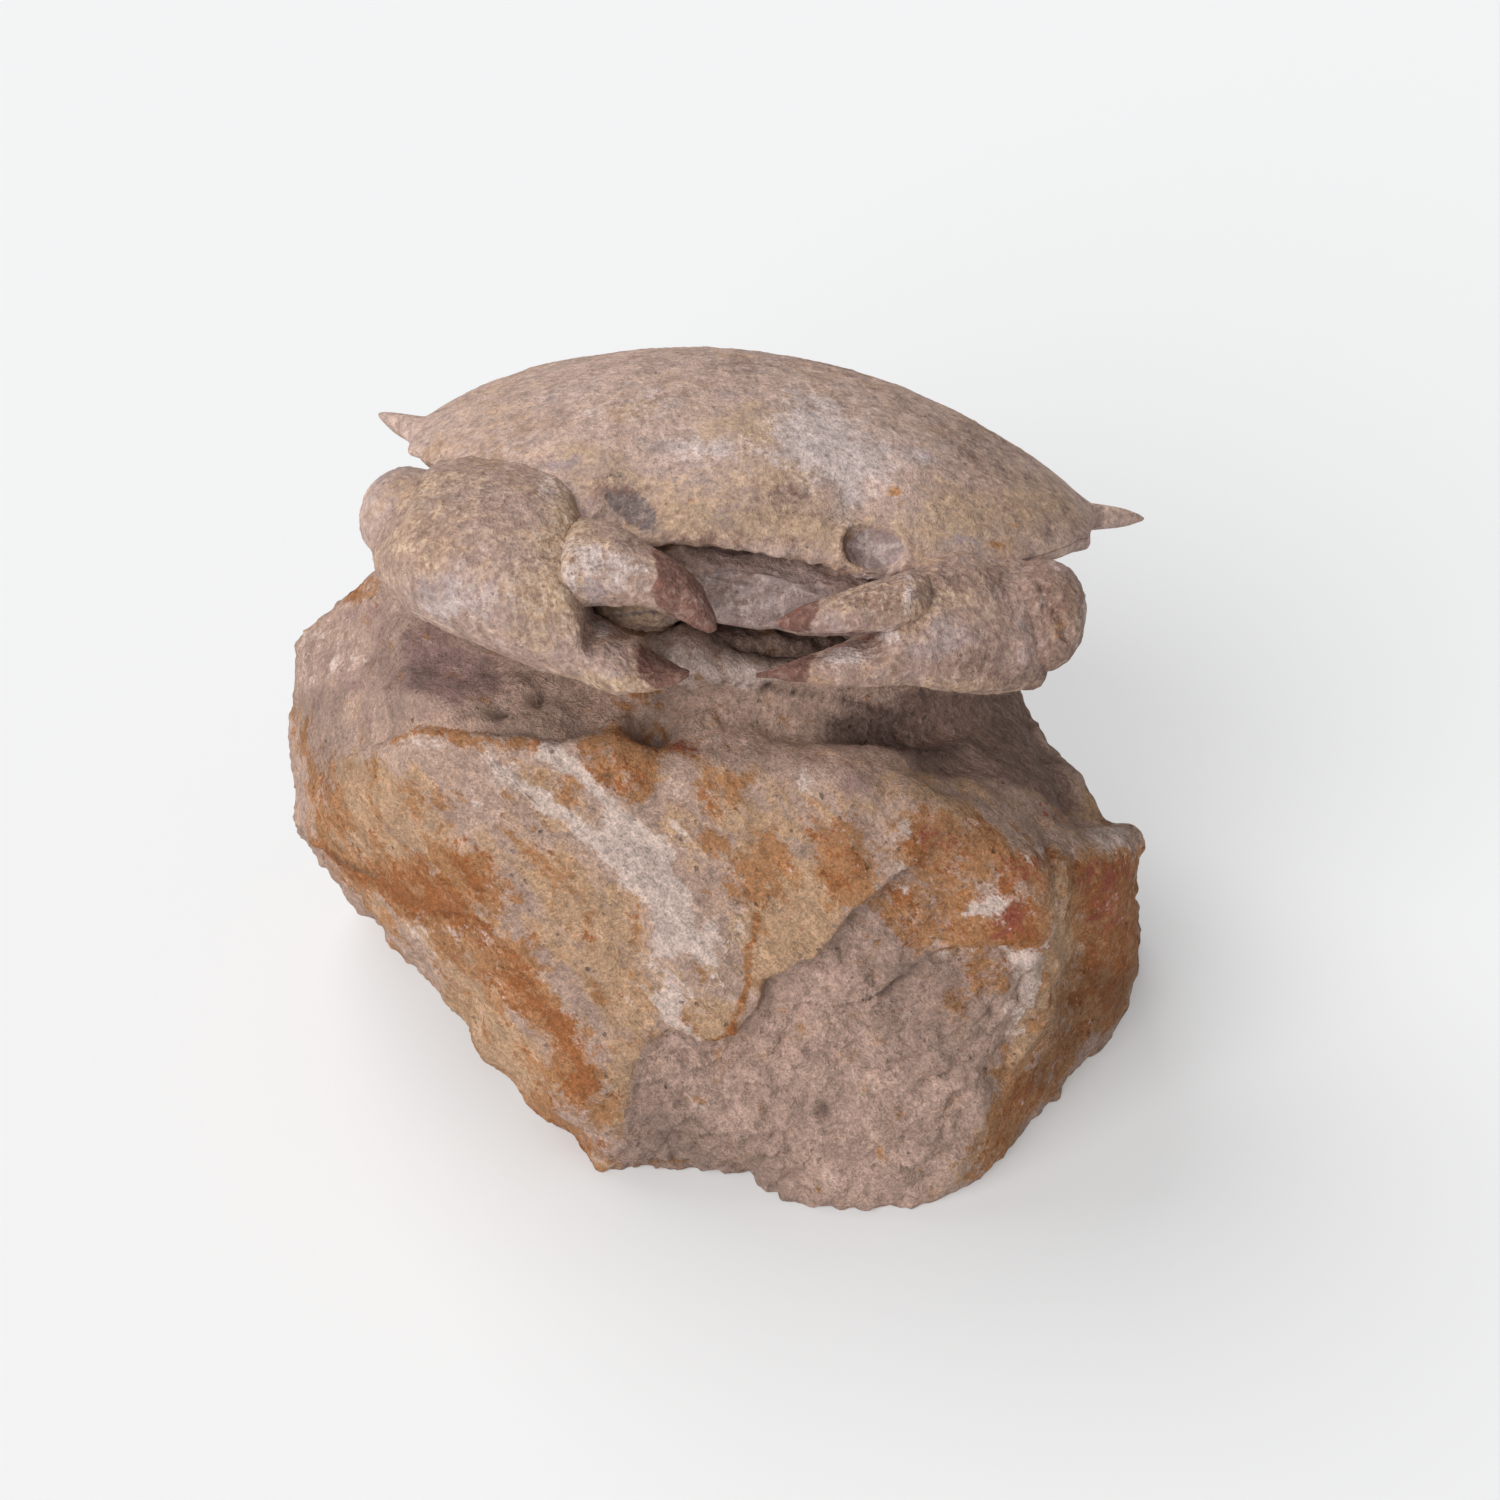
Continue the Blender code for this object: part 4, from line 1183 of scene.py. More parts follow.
# What marks the stone, by where it is seen: outlines with how strong each is, and lines with
# their widths in pixels and strengths
STONE_MARKS = {
    "orange": (
        (((575, 742), (600, 728), (640, 730), (668, 750), (658, 776), (630, 794), (600, 786)), 0.8),
        (((546, 772), (577, 778), (582, 806), (556, 808)), 0.3),
        (((689, 751), (722, 760), (749, 786), (735, 800), (700, 790)), 0.5),
        (((695, 790), (744, 784), (740, 812), (705, 822)), 0.3),
        (((705, 840), (760, 828), (793, 838), (790, 900), (760, 912), (735, 900)), 0.65),
        (((805, 812), (850, 822), (872, 850), (870, 902), (830, 905), (810, 870)), 0.75),
        (((893, 795), (980, 815), (1040, 856), (1036, 890), (990, 884), (900, 878)), 0.75),
        (((888, 892), (1040, 894), (1036, 945), (974, 950), (925, 962), (892, 955)), 0.8),
        (((972, 951), (1004, 951), (995, 1000), (960, 1030), (940, 1020)), 0.7),
        (((287, 691), (303, 700), (322, 745), (357, 790), (350, 830), (322, 838), (294, 760)), 0.6),
        (((316, 840), (352, 850), (400, 860), (440, 850), (471, 842), (500, 850), (490, 900),
          (450, 912), (400, 912), (350, 880)), 0.85),
        (((400, 900), (470, 905), (530, 930), (550, 975), (585, 1050), (600, 1100), (562, 1084),
          (500, 1000), (440, 950)), 0.5),
        (((330, 740), (430, 770), (520, 830), (640, 920), (655, 1020), (560, 1120), (440, 1000),
          (345, 870)), 0.16),
        (((556, 1060), (600, 1060), (630, 1080), (625, 1130), (608, 1168), (560, 1125),
          (530, 1090)), 0.35),
        (((1074, 868), (1142, 850), (1146, 950), (1115, 1020), (1085, 1000), (1078, 920)), 1.1),
        (((968, 1175), (1000, 1085), (1050, 1050), (1110, 1020), (1060, 1090), (1000, 1170)), 0.9),
        (((1040, 985), (1110, 985), (1106, 1030), (1065, 1050), (1030, 1050)), 0.5),
        (((1040, 836), (1080, 850), (1078, 885), (1046, 885)), 0.7),
        (((1005, 925), (1042, 925), (1045, 972), (1010, 978)), 0.7),
        (((640, 715), (672, 715), (682, 760), (652, 768)), 0.5),
        (((343, 573), (375, 573), (372, 598), (345, 604)), 1.1),
        (((623, 684), (655, 684), (655, 703), (626, 705)), 0.9),
        (((850, 930), (885, 900), (890, 960), (860, 990)), 0.3),
    ),
    "orange lines": (
        (((396, 738), (420, 730), (471, 738), (500, 743), (522, 738), (546, 750)), 6, 0.8),
        (((318, 842), (344, 866), (376, 884), (414, 906), (452, 916), (490, 940), (530, 985),
          (560, 1030), (590, 1080)), 12, 0.5),
        (((757, 918), (750, 950), (744, 990), (734, 1030), (712, 1034)), 5, 1.0),
        (((672, 1006), (690, 1028), (712, 1034)), 4, 0.7),
        (((591, 920), (594, 960), (602, 1003)), 6, 0.4),
        (((545, 1105), (580, 1140), (612, 1164), (660, 1172)), 12, 0.8),
        (((640, 890), (636, 945)), 6, 0.4),
        (((1003, 876), (1006, 934)), 7, 0.6),
        (((440, 790), (480, 800), (520, 840), (560, 880)), 8, 0.3),
        (((350, 895), (400, 950), (470, 1035), (540, 1105), (600, 1155)), 8, 0.4),
    ),
    "red": (
        (((806, 815), (845, 822), (850, 866), (820, 872)), 0.6),
        (((900, 800), (960, 804), (980, 850), (920, 850)), 0.7),
        (((985, 850), (1040, 850), (1028, 936), (990, 936)), 0.8),
        (((985, 786), (1066, 790), (1120, 808), (1130, 840), (1070, 830), (1010, 806)), 0.6),
        (((662, 738), (690, 740), (694, 762), (668, 764)), 0.8),
        (((1079, 860), (1125, 860), (1120, 925), (1085, 925)), 0.9),
        (((1000, 1090), (1050, 1050), (1100, 1030), (1060, 1085), (1000, 1165)), 0.3),
        (((893, 940), (960, 920), (1020, 900), (1000, 945)), 0.4),
    ),
    "pale": (
        (((655, 900), (690, 905), (745, 912), (748, 960), (738, 1000), (700, 1015), (660, 1000),
          (650, 950)), 0.5),
        (((688, 918), (714, 918), (714, 958), (692, 960)), 0.6),
        (((640, 835), (665, 850), (690, 890), (690, 940), (665, 950), (640, 880)), 1.2),
        (((598, 812), (640, 828), (668, 862), (650, 874), (612, 846)), 0.9),
        (((1010, 960), (1040, 955), (1050, 1010), (1020, 1045), (1004, 1020)), 0.4),
        (((785, 770), (814, 776), (812, 796), (790, 794)), 0.8),
        (((846, 824), (868, 824), (868, 842), (850, 843)), 0.7),
        (((895, 810), (913, 813), (911, 834), (897, 832)), 0.8),
        (((925, 815), (936, 820), (934, 838), (924, 834)), 0.7),
        (((968, 894), (1002, 896), (1000, 912), (972, 912)), 0.9),
        (((443, 785), (505, 785), (505, 826), (447, 826)), 0.4),
        (((1020, 828), (1046, 832), (1050, 856), (1030, 856)), 0.5),
        # A pale strip of stone under the fingers, painted paler still as painted light against the
        # claws' shade
        (((640, 636), (700, 648), (780, 665), (800, 680), (730, 684), (650, 672)), 1.0),
        (((1088, 812), (1130, 822), (1130, 856), (1096, 850)), 0.9),
        (((400, 912), (428, 915), (430, 960), (408, 955)), 0.5),
        (((443, 924), (488, 926), (490, 970), (450, 966)), 0.3),
        (((665, 770), (694, 772), (694, 850), (675, 858)), 0.4),
        # Painted highlight along the lit edge of the olive ridge
        (((1040, 850), (1058, 870), (1054, 960), (1024, 1020), (1018, 960), (1040, 900)), 0.5),
        (((300, 640), (360, 610), (385, 640), (350, 680), (305, 690)), 0.4),
        (((620, 940), (650, 950), (655, 1000), (630, 990)), 0.4),
    ),
    "pale lines": (
        (((545, 750), (582, 775), (613, 805), (640, 829), (665, 860), (681, 888)), 11, 1.2),
        (((499, 771), (536, 793), (560, 815), (597, 836), (620, 860), (636, 880)), 11, 1.0),
        (((664, 996), (676, 1018), (694, 1040)), 9, 0.9),
        (((400, 742), (440, 745), (500, 760)), 8, 0.4),
        (((870, 840), (895, 868), (905, 900)), 6, 0.4),
        (((925, 905), (960, 912), (1010, 892)), 6, 0.6),
        (((940, 965), (975, 958), (1010, 955)), 4, 0.6),
    ),
    "tan": (
        (((330, 760), (420, 760), (440, 850), (380, 870), (330, 830)), 0.5),
        (((560, 850), (640, 880), (660, 1010), (600, 1010), (540, 900)), 0.4),
        (((745, 860), (860, 880), (820, 950), (760, 975), (750, 915)), 0.5),
        (((1035, 870), (1080, 880), (1070, 1010), (1010, 1080), (980, 1060), (1030, 980)), 0.9),
        (((640, 1000), (700, 1035), (740, 1035), (730, 1010), (690, 1010)), 0.5),
        (((430, 985), (500, 990), (560, 1080), (540, 1110), (470, 1045)), 0.6),
        (((636, 612), (668, 612), (672, 636), (650, 645), (628, 634)), 1.6),
        (((596, 1000), (640, 1010), (670, 1080), (690, 1150), (630, 1160), (604, 1090)), 0.5),
    ),
    "mauve": (
        (((297, 655), (345, 600), (400, 590), (480, 640), (500, 700), (480, 728), (417, 722),
          (330, 735), (300, 700)), 0.5),
        (((480, 640), (560, 680), (640, 696), (650, 735), (600, 726), (545, 738), (480, 728)), 0.1),
        (((735, 765), (860, 768), (945, 785), (1045, 835), (1000, 818), (900, 800), (800, 800)), 0.5),
        (((1040, 800), (1121, 802), (1130, 845), (1090, 852)), 0.3),
        (((650, 700), (760, 700), (780, 740), (690, 745)), 0.3),
        (((405, 650), (440, 622), (500, 645), (500, 675), (450, 690), (405, 680)), 0.6),
        (((640, 1020), (680, 1045), (720, 1110), (680, 1150), (650, 1090)), 0.3),
    ),
    # Painted shade: darker where the right flank turns from the light, in the hollow under the big
    # palm, in the valley and gap under the claws, and on other patches
    "painted_shade": (
        (((1070, 965), (1140, 965), (1110, 1035), (1060, 1092), (1036, 1090), (1056, 1005)), 0.6),
        (((395, 632), (430, 622), (500, 645), (500, 675), (420, 688), (398, 665)), 0.1),
        (((800, 716), (850, 710), (900, 722), (962, 750), (940, 760), (880, 747), (820, 736)), 1.0),
        (((735, 642), (790, 636), (840, 640), (800, 664), (750, 662)), 1.0),
        (((292, 688), (352, 690), (362, 770), (310, 780)), 0.5),
        (((480, 712), (600, 712), (596, 732), (545, 742), (480, 735)), 0.6),
        (((830, 930), (880, 885), (900, 950), (1020, 955), (1030, 990), (950, 1000), (860, 990)), 0.2),
        (((600, 1070), (660, 1080), (700, 1110), (700, 1150), (640, 1160), (600, 1120)), 0.3),
        (((640, 690), (670, 690), (685, 715), (690, 735), (655, 735), (644, 715)), 0.6),
        (((888, 892), (1032, 894), (1030, 945), (974, 950), (925, 962), (892, 955)), 0.1),
        (((890, 960), (960, 965), (990, 1000), (960, 1080), (900, 1080), (870, 1000)), 0.4),
        (((840, 770), (930, 784), (990, 836), (990, 870), (900, 890), (850, 880)), 0.35),
        (((630, 1110), (700, 1120), (800, 1170), (790, 1195), (700, 1190), (640, 1165)), 0.5),
        (((385, 600), (430, 620), (420, 720), (385, 730), (372, 660)), 0.5),
    ),
    # Painted shade in a hole and in the gap under the mouth, then thin lines of painted shade along
    # pits, cracks and scarps
    "dark": (
        (((644, 722), (664, 724), (664, 742), (650, 744)), 0.8),
        (((690, 632), (740, 640), (800, 650), (868, 632), (876, 640), (838, 656), (790, 664),
          (750, 658), (700, 644)), 0.6),
    ),
    "dark lines": (
        (((541, 690), (542, 698)), 4, 0.8),
        (((498, 706), (508, 709)), 3.5, 0.8),
        (((463, 710), (468, 711)), 3, 0.6),
        (((606, 772), (611, 774)), 4, 0.6),
        (((821, 1117), (824, 1119)), 5, 0.8),
        (((678, 837), (679, 838)), 3, 0.8),
        (((331, 848), (352, 862), (377, 876)), 3, 0.5),
        (((760, 690), (800, 695), (860, 706), (905, 721)), 2.5, 0.5),
        (((771, 683), (774, 685)), 4, 0.9),
        (((750, 841), (752, 842)), 3.5, 0.6),
        (((738, 1028), (756, 1006), (766, 982)), 3, 0.35),
        (((384, 745), (388, 715), (380, 690), (398, 660)), 2.2, 0.3),
        (((700, 672), (745, 678), (790, 690), (805, 704)), 2, 0.5),
        (((880, 1000), (900, 985), (925, 975)), 3, 0.3),
    ),
}

# How many pixels an outline's edge fades over on either side, and the same for pale and dark marks
MARK_SOFTNESS = 18
PALE_SOFTNESS = 10
DARK_SOFTNESS = 6


def stone_mark(seen, name, softness=MARK_SOFTNESS):
    """One mark of the stone: its outlines filled with soft edges, and its lines, added up."""
    lines = STONE_MARKS.get(name + " lines", ())
    return patches(seen, STONE_MARKS[name], softness) + grooves(seen, lines)


def to_photo(rings):
    """A crab piece set on the stone, with where it is seen and how much it faces the camera."""
    placed = put_on_stone(rings)
    return placed, seen_at(placed), faces_camera(placed, outward_of(placed))


def tinted(placed, seen, front, table, seed):
    """A mask from spots by where they are seen, and clouds where the photograph doesn't show."""
    mask = spots(seen + BLOTCH_SWAY * sway(placed, 7, 2, seed), table)
    return front * mask + (1 - front) * (0.5 + 0.5 * rough(placed, 16, 2, seed + 3))


# Blotches of the shell: where each is seen, its two radii in pixels, and how strong it is
SHELL_TINTS = {
    "tan": (((745, 425), (60, 34), 0.9), ((805, 478), (60, 40), 0.7), ((690, 505), (70, 36), 0.9),
            ((780, 530), (110, 20), 0.8), ((470, 415), (60, 26), 0.4), ((950, 520), (70, 34), 0.7),
            ((600, 395), (70, 24), 0.3), ((1030, 500), (60, 34), 0.6), ((580, 455), (30, 12), 0.8),
            ((1010, 450), (50, 50), 0.3), ((610, 480), (30, 18), 0.7)),
    "grey": (((700, 447), (64, 10), 0.5), ((720, 392), (60, 9), 0.5), ((825, 410), (26, 20), 0.6),
             ((855, 450), (40, 34), 0.5), ((925, 450), (36, 16), 0.6), ((560, 430), (50, 14), 0.3),
             ((960, 545), (50, 9), 0.8), ((560, 467), (34, 8), 0.8), ((640, 440), (60, 16), 0.3)),
    "brown": (((900, 405), (110, 30), 0.35), ((780, 364), (160, 14), 0.6), ((1000, 465), (60, 45), 0.7),
              # The spot at (846, 545) is painted shade on the upper left rim of the right socket
              ((785, 495), (44, 24), 0.8), ((730, 540), (90, 9), 0.9), ((846, 545), (7, 17), 1.3),
              ((625, 489), (36, 7), 1.3), ((1060, 525), (44, 30), 0.5), ((600, 500), (12, 26), 0.6),
              ((960, 450), (30, 30), 0.4), ((770, 515), (90, 20), 0.3)),
    "white": (((640, 400), (70, 30), 0.5), ((800, 430), (34, 48), 1.0), ((500, 449), (50, 6), 0.4),
              ((850, 455), (46, 40), 1.0), ((880, 549), (18, 14), 0.5), ((875, 575), (34, 4), 1.0),
              ((915, 455), (30, 16), 0.6), ((700, 450), (60, 16), 0.9), ((850, 500), (16, 40), 0.6)),
}

# The sockets where they are seen, the right one's cracks, and spots of ochre
LEFT_SOCKET_SEEN = (
    (604, 489), (640, 493), (657, 508), (659, 533), (640, 531), (620, 520), (606, 505),
)
RIGHT_SOCKET_SEEN = ((875, 549), (30, 21))
RIGHT_SOCKET_CRACKS = (
    ((866, 527), (869, 548), (866, 568)),
    ((848, 545), (872, 550), (902, 544)),
    ((856, 534), (884, 562)),
)
LEFT_SOCKET_CRACK = ((606, 478), (611, 474), (616, 477), (621, 476))
SHELL_SPOTS = (
    ((895, 492), (9, 6)), ((900, 505), (7, 5)), ((998, 545), (14, 8)), ((1014, 526), (5, 5)),
    ((690, 500), (6, 4)), ((1040, 510), (6, 4)),
)


def build_shell(material):
    """The domed shell with its spines, teeth, sockets and fine unevenness."""
    rings = press_socket(press_socket(shell_rings(), RIGHT_SOCKET), LEFT_SOCKET)
    outward = outward_of(rings)
    calm = 1
    for root, _, half_wide, _ in SPINES:
        apart = np.linalg.norm(rings - np.array(root), axis=-1)
        calm = calm * rise(apart, 2 * half_wide, 5 * half_wide)
    uneven = 0.4 * rough(rings, 20, 2, 71) + 0.17 * rough(rings, 4.5, 3, 73)
    uneven = uneven + 0.12 * chips(rings, 3.2, 75) - 0.08 * crags(rings, 1.6, 2, 77)
    margin = rise(-rings[..., 1], 29, 34) * rise(-rings[..., 2], 2, 4)
    uneven = uneven + 0.6 * margin * rough(rings, 2.4, 2, 79)
    rings = rings + (uneven * (0.15 + 0.85 * calm))[..., None] * outward
    placed, seen, front = to_photo(rings)
    tan, grey, brown, white = (
        tinted(placed, seen, front, table, 81 + 9 * k)
        for k, table in enumerate(SHELL_TINTS.values())
    )
    middle, radii = RIGHT_SOCKET_SEEN
    inside = front * rise(1 - (((seen - np.array(middle)) / np.array(radii)) ** 2).sum(-1), -0.1, 0.3)
    cracks = sum(groove(seen, line, 2.2) for line in RIGHT_SOCKET_CRACKS)
    grainy = 1 + 0.5 * rough(placed, 1.6, 3, 88)
    dark = front * filled(seen, LEFT_SOCKET_SEEN, -4, 6) * grainy
    dark = dark + front * groove(seen, LEFT_SOCKET_CRACK, 1.6)
    dark = dark + 0.2 * inside * grainy
    orange = sum(spot(seen, place, size) for place, size in SHELL_SPOTS)
    tan, brown = tan * (1 - inside), brown * (1 - inside)
    marks = {
        "tints": (tan, grey + inside, brown, white + 1.3 * inside * cracks),
        "ends": (0 * dark, np.clip(dark, 0, 1), 0.9 * front * orange),
    }
    add_piece("carapace", placed, marks, material)


# Blotches of the claws, as for the shell
CLAW_TINTS = {
    "tan": (((540, 600), (50, 50), 0.9), ((580, 510), (30, 30), 1.0), ((440, 500), (90, 34), 0.6),
            ((600, 684), (60, 10), 1.1), ((930, 600), (60, 30), 0.7), ((960, 685), (70, 10), 1.0),
            ((860, 600), (40, 20), 0.8), ((400, 560), (40, 30), 0.6), ((560, 570), (16, 60), 0.8)),
    "grey": (((440, 600), (60, 30), 0.6), ((592, 600), (12, 30), 1.0), ((1025, 620), (14, 50), 0.5),
             ((955, 635), (44, 26), 0.5), ((640, 592), (30, 10), 0.4), ((500, 615), (30, 26), 0.4),
             ((380, 480), (24, 30), 0.6)),
    "brown": (((450, 500), (80, 24), 0.3), ((950, 585), (60, 24), 0.5), ((545, 610), (44, 56), 0.6),
              ((573, 560), (6, 5), 1.0), ((1058, 618), (24, 42), 1.5), ((985, 575), (30, 20), 0.4),
              ((900, 665), (90, 20), 0.4), ((985, 672), (56, 26), 1.0),
              ((1036, 672), (14, 12), 0.9), ((930, 580), (14, 18), 0.5), ((860, 600), (60, 24), 0.8),
              ((410, 540), (30, 20), 0.3), ((640, 540), (30, 6), 0.6)),
    "white": (((620, 572), (36, 24), 0.8), ((460, 605), (54, 26), 0.8), ((848, 659), (24, 9), 1.4),
              ((890, 634), (12, 9), 1.1), ((592, 555), (16, 14), 0.8), ((912, 595), (9, 26), 0.8),
              # The next three white spots are painted light on the end of the big palm and the root of
              # its fixed finger, where shade falls
              ((560, 488), (30, 22), 0.6), ((568, 572), (12, 30), 0.7), ((600, 628), (14, 14), 1.0),
              ((370, 500), (10, 34), 0.5), ((1042, 600), (6, 24), 0.5), ((950, 625), (40, 20), 0.4),
              ((1084, 620), (6, 40), 0.5)),
}

# The claws' dark ends by outlines, whose edges fade over as many pixels on either side, and thin
# red lines and ochre spots beside them
TIP_SOFTNESS = 4
CLAW_TIPS = (
    (((580, 618), (604, 606), (612, 622), (636, 636), (650, 655), (642, 668), (614, 668),
      (590, 652)), 0.25),
    (((640, 646), (668, 655), (710, 664), (706, 684), (655, 690), (638, 678)), 0.85),
    (((650, 544), (700, 560), (724, 588), (736, 640), (700, 650), (672, 620), (657, 606), (652, 590),
      (658, 572)), 1.0),
    (((816, 592), (820, 608), (812, 622), (804, 642), (755, 642), (755, 606), (800, 594)), 1.0),
    (((820, 646), (812, 664), (806, 679), (800, 694), (735, 694), (735, 660), (790, 646)), 0.9),
)

CLAW_REDS = (
    (((776, 620), (812, 605)), 4, 0.5),
    (((657, 552), (662, 572), (656, 592)), 3, 0.6),
    (((818, 650), (872, 636)), 3, 0.7),
    (((760, 672), (800, 660)), 3, 0.4),
)
CLAW_OCHRES = (((1058, 625), (12, 24), 0.5), ((640, 548), (26, 4), 0.5))

# The rough hollow of the small wrist, and hills and grooves of the claws, as for the stone
WRIST_PATCH = (
    (1037, 581), (1056, 587), (1066, 612), (1074, 628), (1072, 643), (1062, 644), (1051, 624),
    (1045, 604),
)
CLAW_HILLS = {
    "dimple at the hinge": ((573, 561), (7, 6), -0.9),
    "tooth of the big claw": ((634, 650), (12, 9), 1.6),
    "swelling of the fixed finger": ((612, 645), (24, 16), 0.8),
    "knuckle ridge": ((906, 595), (9, 28), 0.25),
    "knuckle foot": ((892, 634), (16, 12), 0.5),
    "rough patch of the fixed finger": ((848, 660), (24, 10), 0.4),
    "right shoulder": ((1024, 620), (9, 50), 0.5),
    "lower palm": ((960, 690), (60, 9), 0.3),
}
CLAW_GROOVES = (
    (((570, 570), (578, 590), (573, 615), (584, 640)), 4, 0.25),
    (((1037, 581), (1043, 600), (1044, 622), (1052, 642), (1060, 646)), 2.5, 0.4),
    (((880, 640), (850, 650), (836, 660)), 3, 0.3),
    (((872, 590), (868, 605)), 5, 0.3),
)


def build_claw(node, rings, material, seed):
    """One piece of a claw, with its hills, grooves and unevenness, and its marks and dark ends."""
    _, seen, front = to_photo(rings)
    move = spots(seen, CLAW_HILLS.values()) - grooves(seen, CLAW_GROOVES)
    patch = filled(seen, WRIST_PATCH, -2, 4)
    uneven = 0.4 * rough(rings, 11, 2, seed) + 0.22 * rough(rings, 3.2, 3, seed + 2)
    uneven = uneven + 0.18 * chips(rings, 2.6, seed + 5) - 0.12 * crags(rings, 1.4, 2, seed + 7)
    move = move - patch * (0.8 - 0.9 * rough(rings, 1.8, 2, seed + 3))
    slim = np.clip(np.ptp(rings, axis=1).max(-1) / 7, 0, 1)[:, None]
    rings = rings + (slim * (uneven + front * move))[..., None] * outward_of(rings)
    placed, seen, front = to_photo(rings)
    tints = tuple(
        tinted(placed, seen, front, table, seed + 13 * k)
        for k, table in enumerate(CLAW_TINTS.values())
    )
    frayed = seen + TIP_FRAY * sway(placed, 1.8, 3, seed + 8, 0.7)
    tip = np.clip(patches(frayed, CLAW_TIPS, TIP_SOFTNESS), 0, 1)
    ochre, red = spots(frayed, CLAW_OCHRES), grooves(frayed, CLAW_REDS)
    ends = (tip, 0.1 * front * patch, front * ochre, front * red)
    add_piece(node, placed, {"tints": tints, "ends": ends}, material)


# Swellings of the mouth: place across and up, half width and half height, and push forward
MOUTH_BUMPS = (
    ((-5.5, -9.6), (3.6, 2.6), 1.4),
    ((0.8, -11.6), (3.6, 3.0), 2.4),
    ((6.4, -10.0), (3.6, 3.0), 2.2),
    ((10.8, -13.0), (4.0, 2.8), 1.8),
    ((3.4, -14.6), (5.0, 2.0), 1.0),
    ((-15.0, -12.0), (7.0, 5.0), 0.8),
    ((-17.0, -18.0), (6.0, 4.6), 4.6),
    ((3.0, -8.0), (20.0, 2.8), 1.8),
)

# What shows of the underside, by outlines in the photograph
MOUTH_SEEN = ((690, 572), (740, 566), (800, 576), (835, 592), (829, 622), (760, 632), (700, 622))
SLOPE_SEEN = ((640, 520), (760, 542), (880, 572), (870, 602), (820, 588), (740, 566), (660, 556))
BEIGE_SEEN = ((598, 598), (665, 600), (672, 632), (640, 644), (600, 636))
BEIGE_CRACKS = ((606, 617), (640, 613), (655, 610), (662, 620), (668, 632))


def build_face(material):
    """The underside of the front: hollowed and grooved under the shell's edge, swollen at the
    mouth, and cut back below it into a dark gap. Each is a bell or a step of the place across and
    up, and the hollow widens to the right."""
    rings = knob_rings(FACE_MIDDLE, FACE_HALF, FACE_STEPS, FACE_SQUARENESS, side_on=True)
    x, y, z = np.moveaxis(rings, -1, 0)
    move = -sum(
        push * np.exp(-(((x - x0) / wide) ** 2) - ((z - z0) / high) ** 2)
        for (x0, z0), (wide, high), push in MOUTH_BUMPS
    )
    rightward = np.clip(x - HOLLOW_START, 0, HOLLOW_SPAN)
    below = z + HOLLOW_LINE[0] + HOLLOW_LINE[1] * rightward
    hollow = np.exp(-((below / (HOLLOW_HALF[0] + HOLLOW_HALF[1] * rightward)) ** 2))
    move = move + HOLLOW_DEPTH * rightward * hollow
    start, end = GAP_RIGHT
    move = move + GAP_DEPTH * rise(-z, *GAP_BELOW) * rise(x, *GAP_LEFT) * rise(-x, -end, -start)
    across = 0.5 * x + 1.3 * z + 2.0 * rough(rings, 6, 3, 97)
    move = move + 0.45 * np.sin(across * 2.0) * rise(hollow, 0, 1)
    rings = rings + (rise(-y, 12, 24) * move)[..., None] * (0, 1, 0)
    uneven = 0.6 * rough(rings, 8, 3, 91) + 0.8 * chips(rings, 3.5, 93) - 0.4 * crags(rings, 2.2, 2, 95)
    uneven = uneven + 0.6 * rough(rings, 2.6, 3, 99, 0.65)
    rings = rings + uneven[..., None] * outward_of(rings)
    placed, seen, front = to_photo(rings)
    mouth = front * filled(seen, MOUTH_SEEN, -8, 10)
    slope = front * filled(seen, SLOPE_SEEN, -8, 8)
    beige = front * filled(seen, BEIGE_SEEN, -6, 6)
    crack = front * groove(seen, BEIGE_CRACKS, 1.8)
    marks = {
        # The slope under the shell's edge is painted browner and darker: painted shade
        "tints": (0.1 + 0.8 * beige, 0.3 + 0.3 * mouth, 0.5 + 0.1 * slope - 0.9 * beige, 0.5 * mouth),
        "ends": (0 * front, crack + 0.2 * slope),
    }
    add_piece("face", placed, marks, material)


def build_floor():
    """A plain pale floor, wide enough to fill every view and just under the stone."""
    mesh = bpy.data.meshes.new("floor")
    sides = ((-1, -1), (1, -1), (1, 1), (-1, 1))
    corners = [(x * FLOOR_HALF, y * FLOOR_HALF, -FLOOR_DROP * MM) for x, y in sides]
    mesh.from_pydata(corners, [], [(0, 1, 2, 3)])
    paper = bpy.data.materials.new("pale_floor")
    paper.use_nodes = True
    shader = paper.node_tree.nodes["Principled BSDF"]
    shader.inputs["Base Color"].default_value = (*FLOOR_PALENESS, 1.0)
    shader.inputs["Roughness"].default_value = 1.0
    shader.inputs["Emission Color"].default_value = (1.0, 1.0, 1.0, 1.0)
    shader.inputs["Emission Strength"].default_value = FLOOR_GLOW
    shader.inputs["Specular IOR Level"].default_value = 0.0
    mesh.materials.append(paper)
    floor = add_object("floor", mesh)


def add_light(name, way, strength, spread):
    """A wide soft light that comes from a direction."""
    lamp = bpy.data.lights.new(name, "SUN")
    lamp.energy = strength
    lamp.angle = np.radians(spread)
    light = add_object(name, lamp)
    light.rotation_euler = Vector(way).to_track_quat("Z", "Y").to_euler()


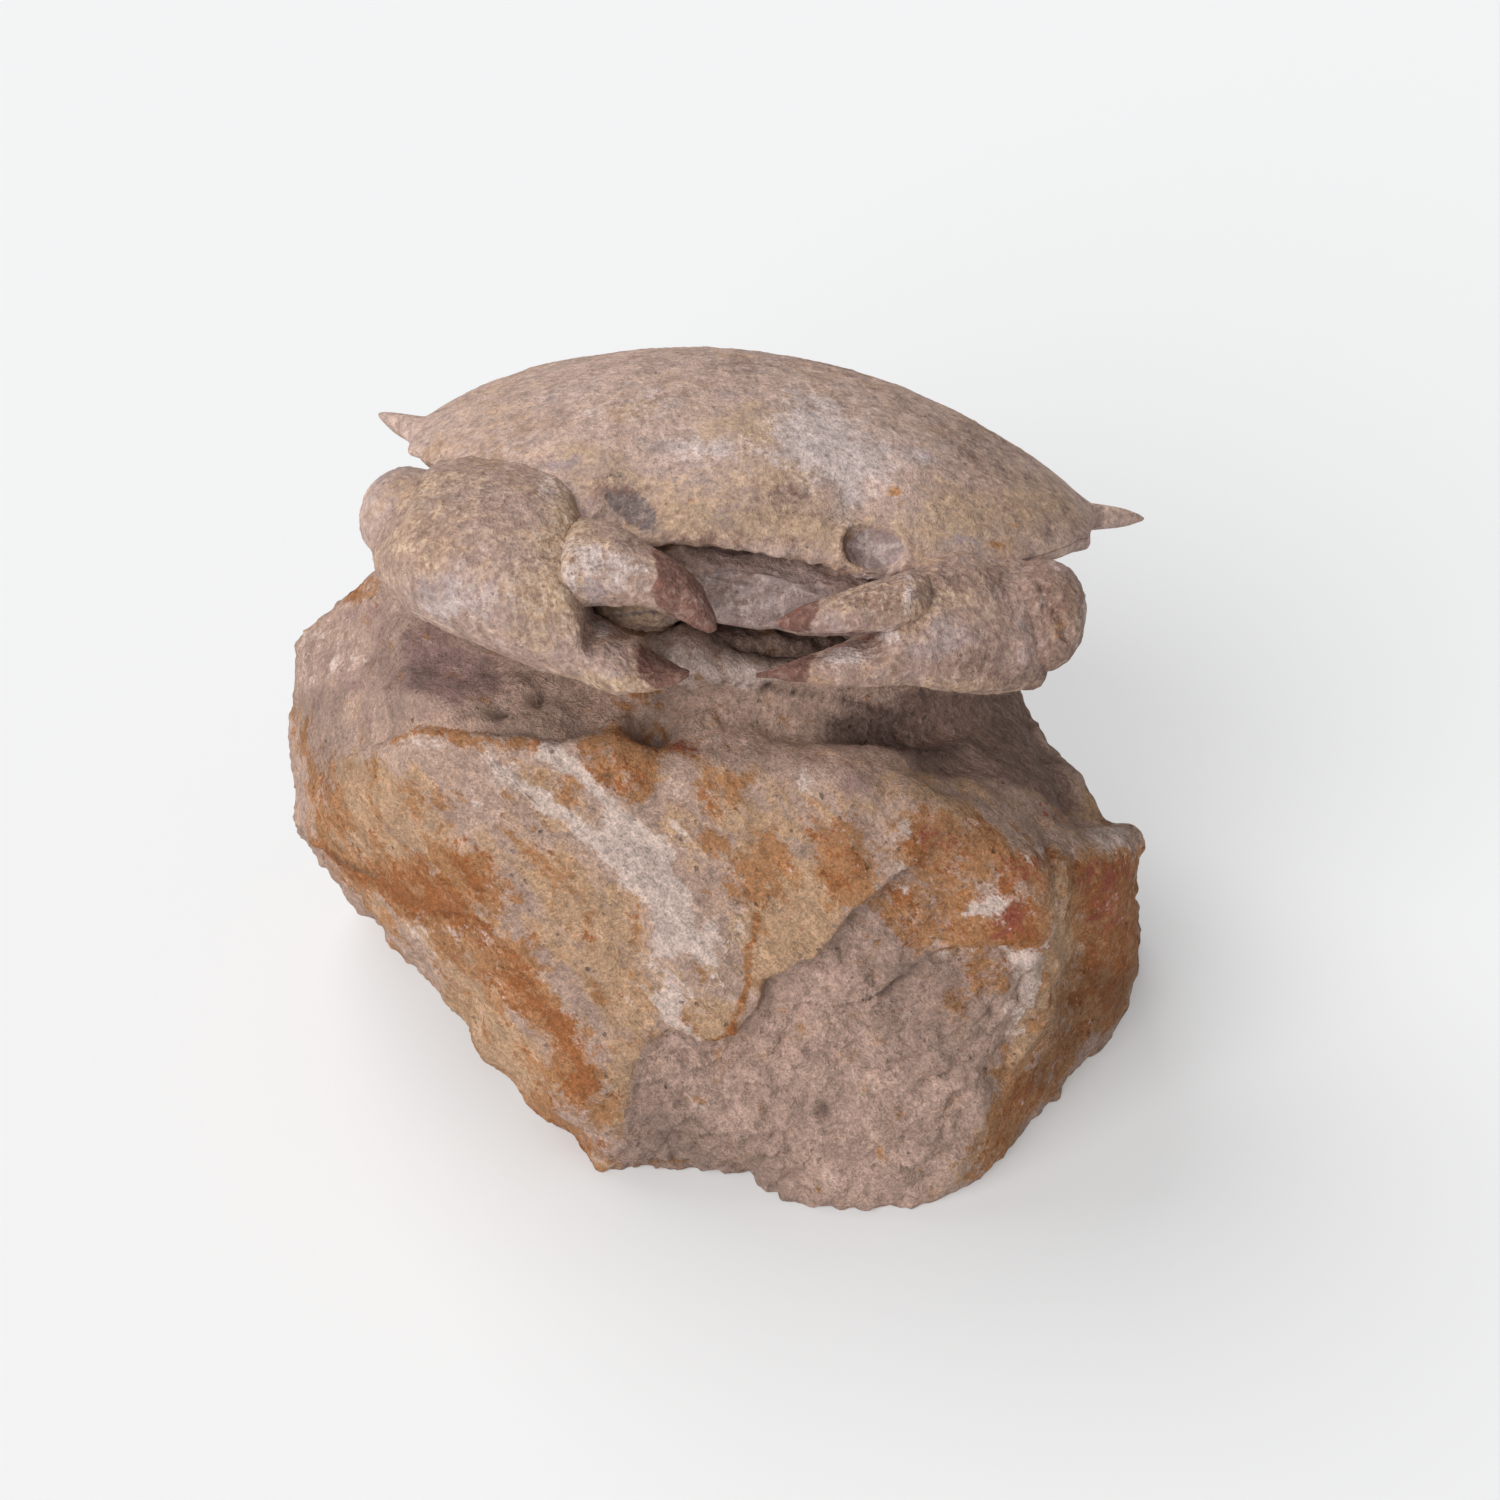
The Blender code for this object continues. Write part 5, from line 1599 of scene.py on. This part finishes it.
def build_studio():
    """An even pale surround, a wide key light from the front left, a softer one from behind, and
    the camera of the photograph."""
    world = bpy.data.worlds.new("studio")
    world.use_nodes = True
    surround = world.node_tree.nodes["Background"]
    surround.inputs["Color"].default_value = (1.0, 1.0, 1.0, 1.0)
    surround.inputs["Strength"].default_value = SURROUND
    bpy.context.scene.world = world
    for name, way, strength, spread in LIGHTS:
        add_light(name, way, strength, spread)
    forward = camera_axes()[2]
    lens = bpy.data.cameras.new("camera")
    lens.lens = LENS
    lens.sensor_width = SENSOR
    camera = add_object("camera", lens)
    camera.location = Vector((LOOKS_AT - CAMERA_DISTANCE * forward) * MM)
    camera.rotation_euler = (np.pi / 2 - CAMERA_STEEPNESS, 0, 0)
    bpy.context.scene.camera = camera
    bpy.context.scene.view_settings.view_transform = "Standard"


def main():
    """Every piece, the floor and the studio."""
    build_stone(stone_finish())
    build_shell(shell_finish("fossil_shell", SHELL_PINK, 0.4, 1.5))
    big = shell_finish("fossil_big_claw", BIG_CLAW_PINK, 1.0, 1.3)
    small = shell_finish("fossil_small_claw", SMALL_CLAW_PINK, 0.9, 1.3)
    big_joint = shell_finish("fossil_joint", BIG_WRIST_PINK, 0.5, 1.1)
    small_joint = shell_finish("fossil_small_joint", SMALL_WRIST_BROWN, 0.9, 1.3)
    big_palm = claw_rings(BIG_PALM, PALM_STEPS, PALM_BEDDING, BIG_PALM_LEAN, PALM_SQUARENESS)
    big_finger = claw_rings(BIG_FINGER, FINGER_STEPS, 1.0, BIG_FINGER_LEAN)
    small_palm = claw_rings(SMALL_PALM, PALM_STEPS, PALM_BEDDING, SMALL_PALM_LEAN, PALM_SQUARENESS)
    small_finger = claw_rings(SMALL_FINGER, FINGER_STEPS)
    build_claw("big_claw_palm", big_palm, big, 101)
    build_claw("big_claw_finger", big_finger, big, 111)
    build_claw("big_claw_wrist", knob_rings(*BIG_WRIST, KNOB_STEPS), big_joint, 121)
    build_claw("small_claw_palm", small_palm, small, 131)
    build_claw("small_claw_finger", small_finger, small, 141)
    build_claw("small_claw_wrist", knob_rings(*SMALL_WRIST, KNOB_STEPS), small_joint, 151)
    build_claw("small_claw_arm", knob_rings(*SMALL_ARM, ARM_STEPS), small_joint, 161)
    build_face(shell_finish("fossil_underside", UNDERSIDE_PINK, 0.5, 1.5))
    build_floor()
    build_studio()


main()
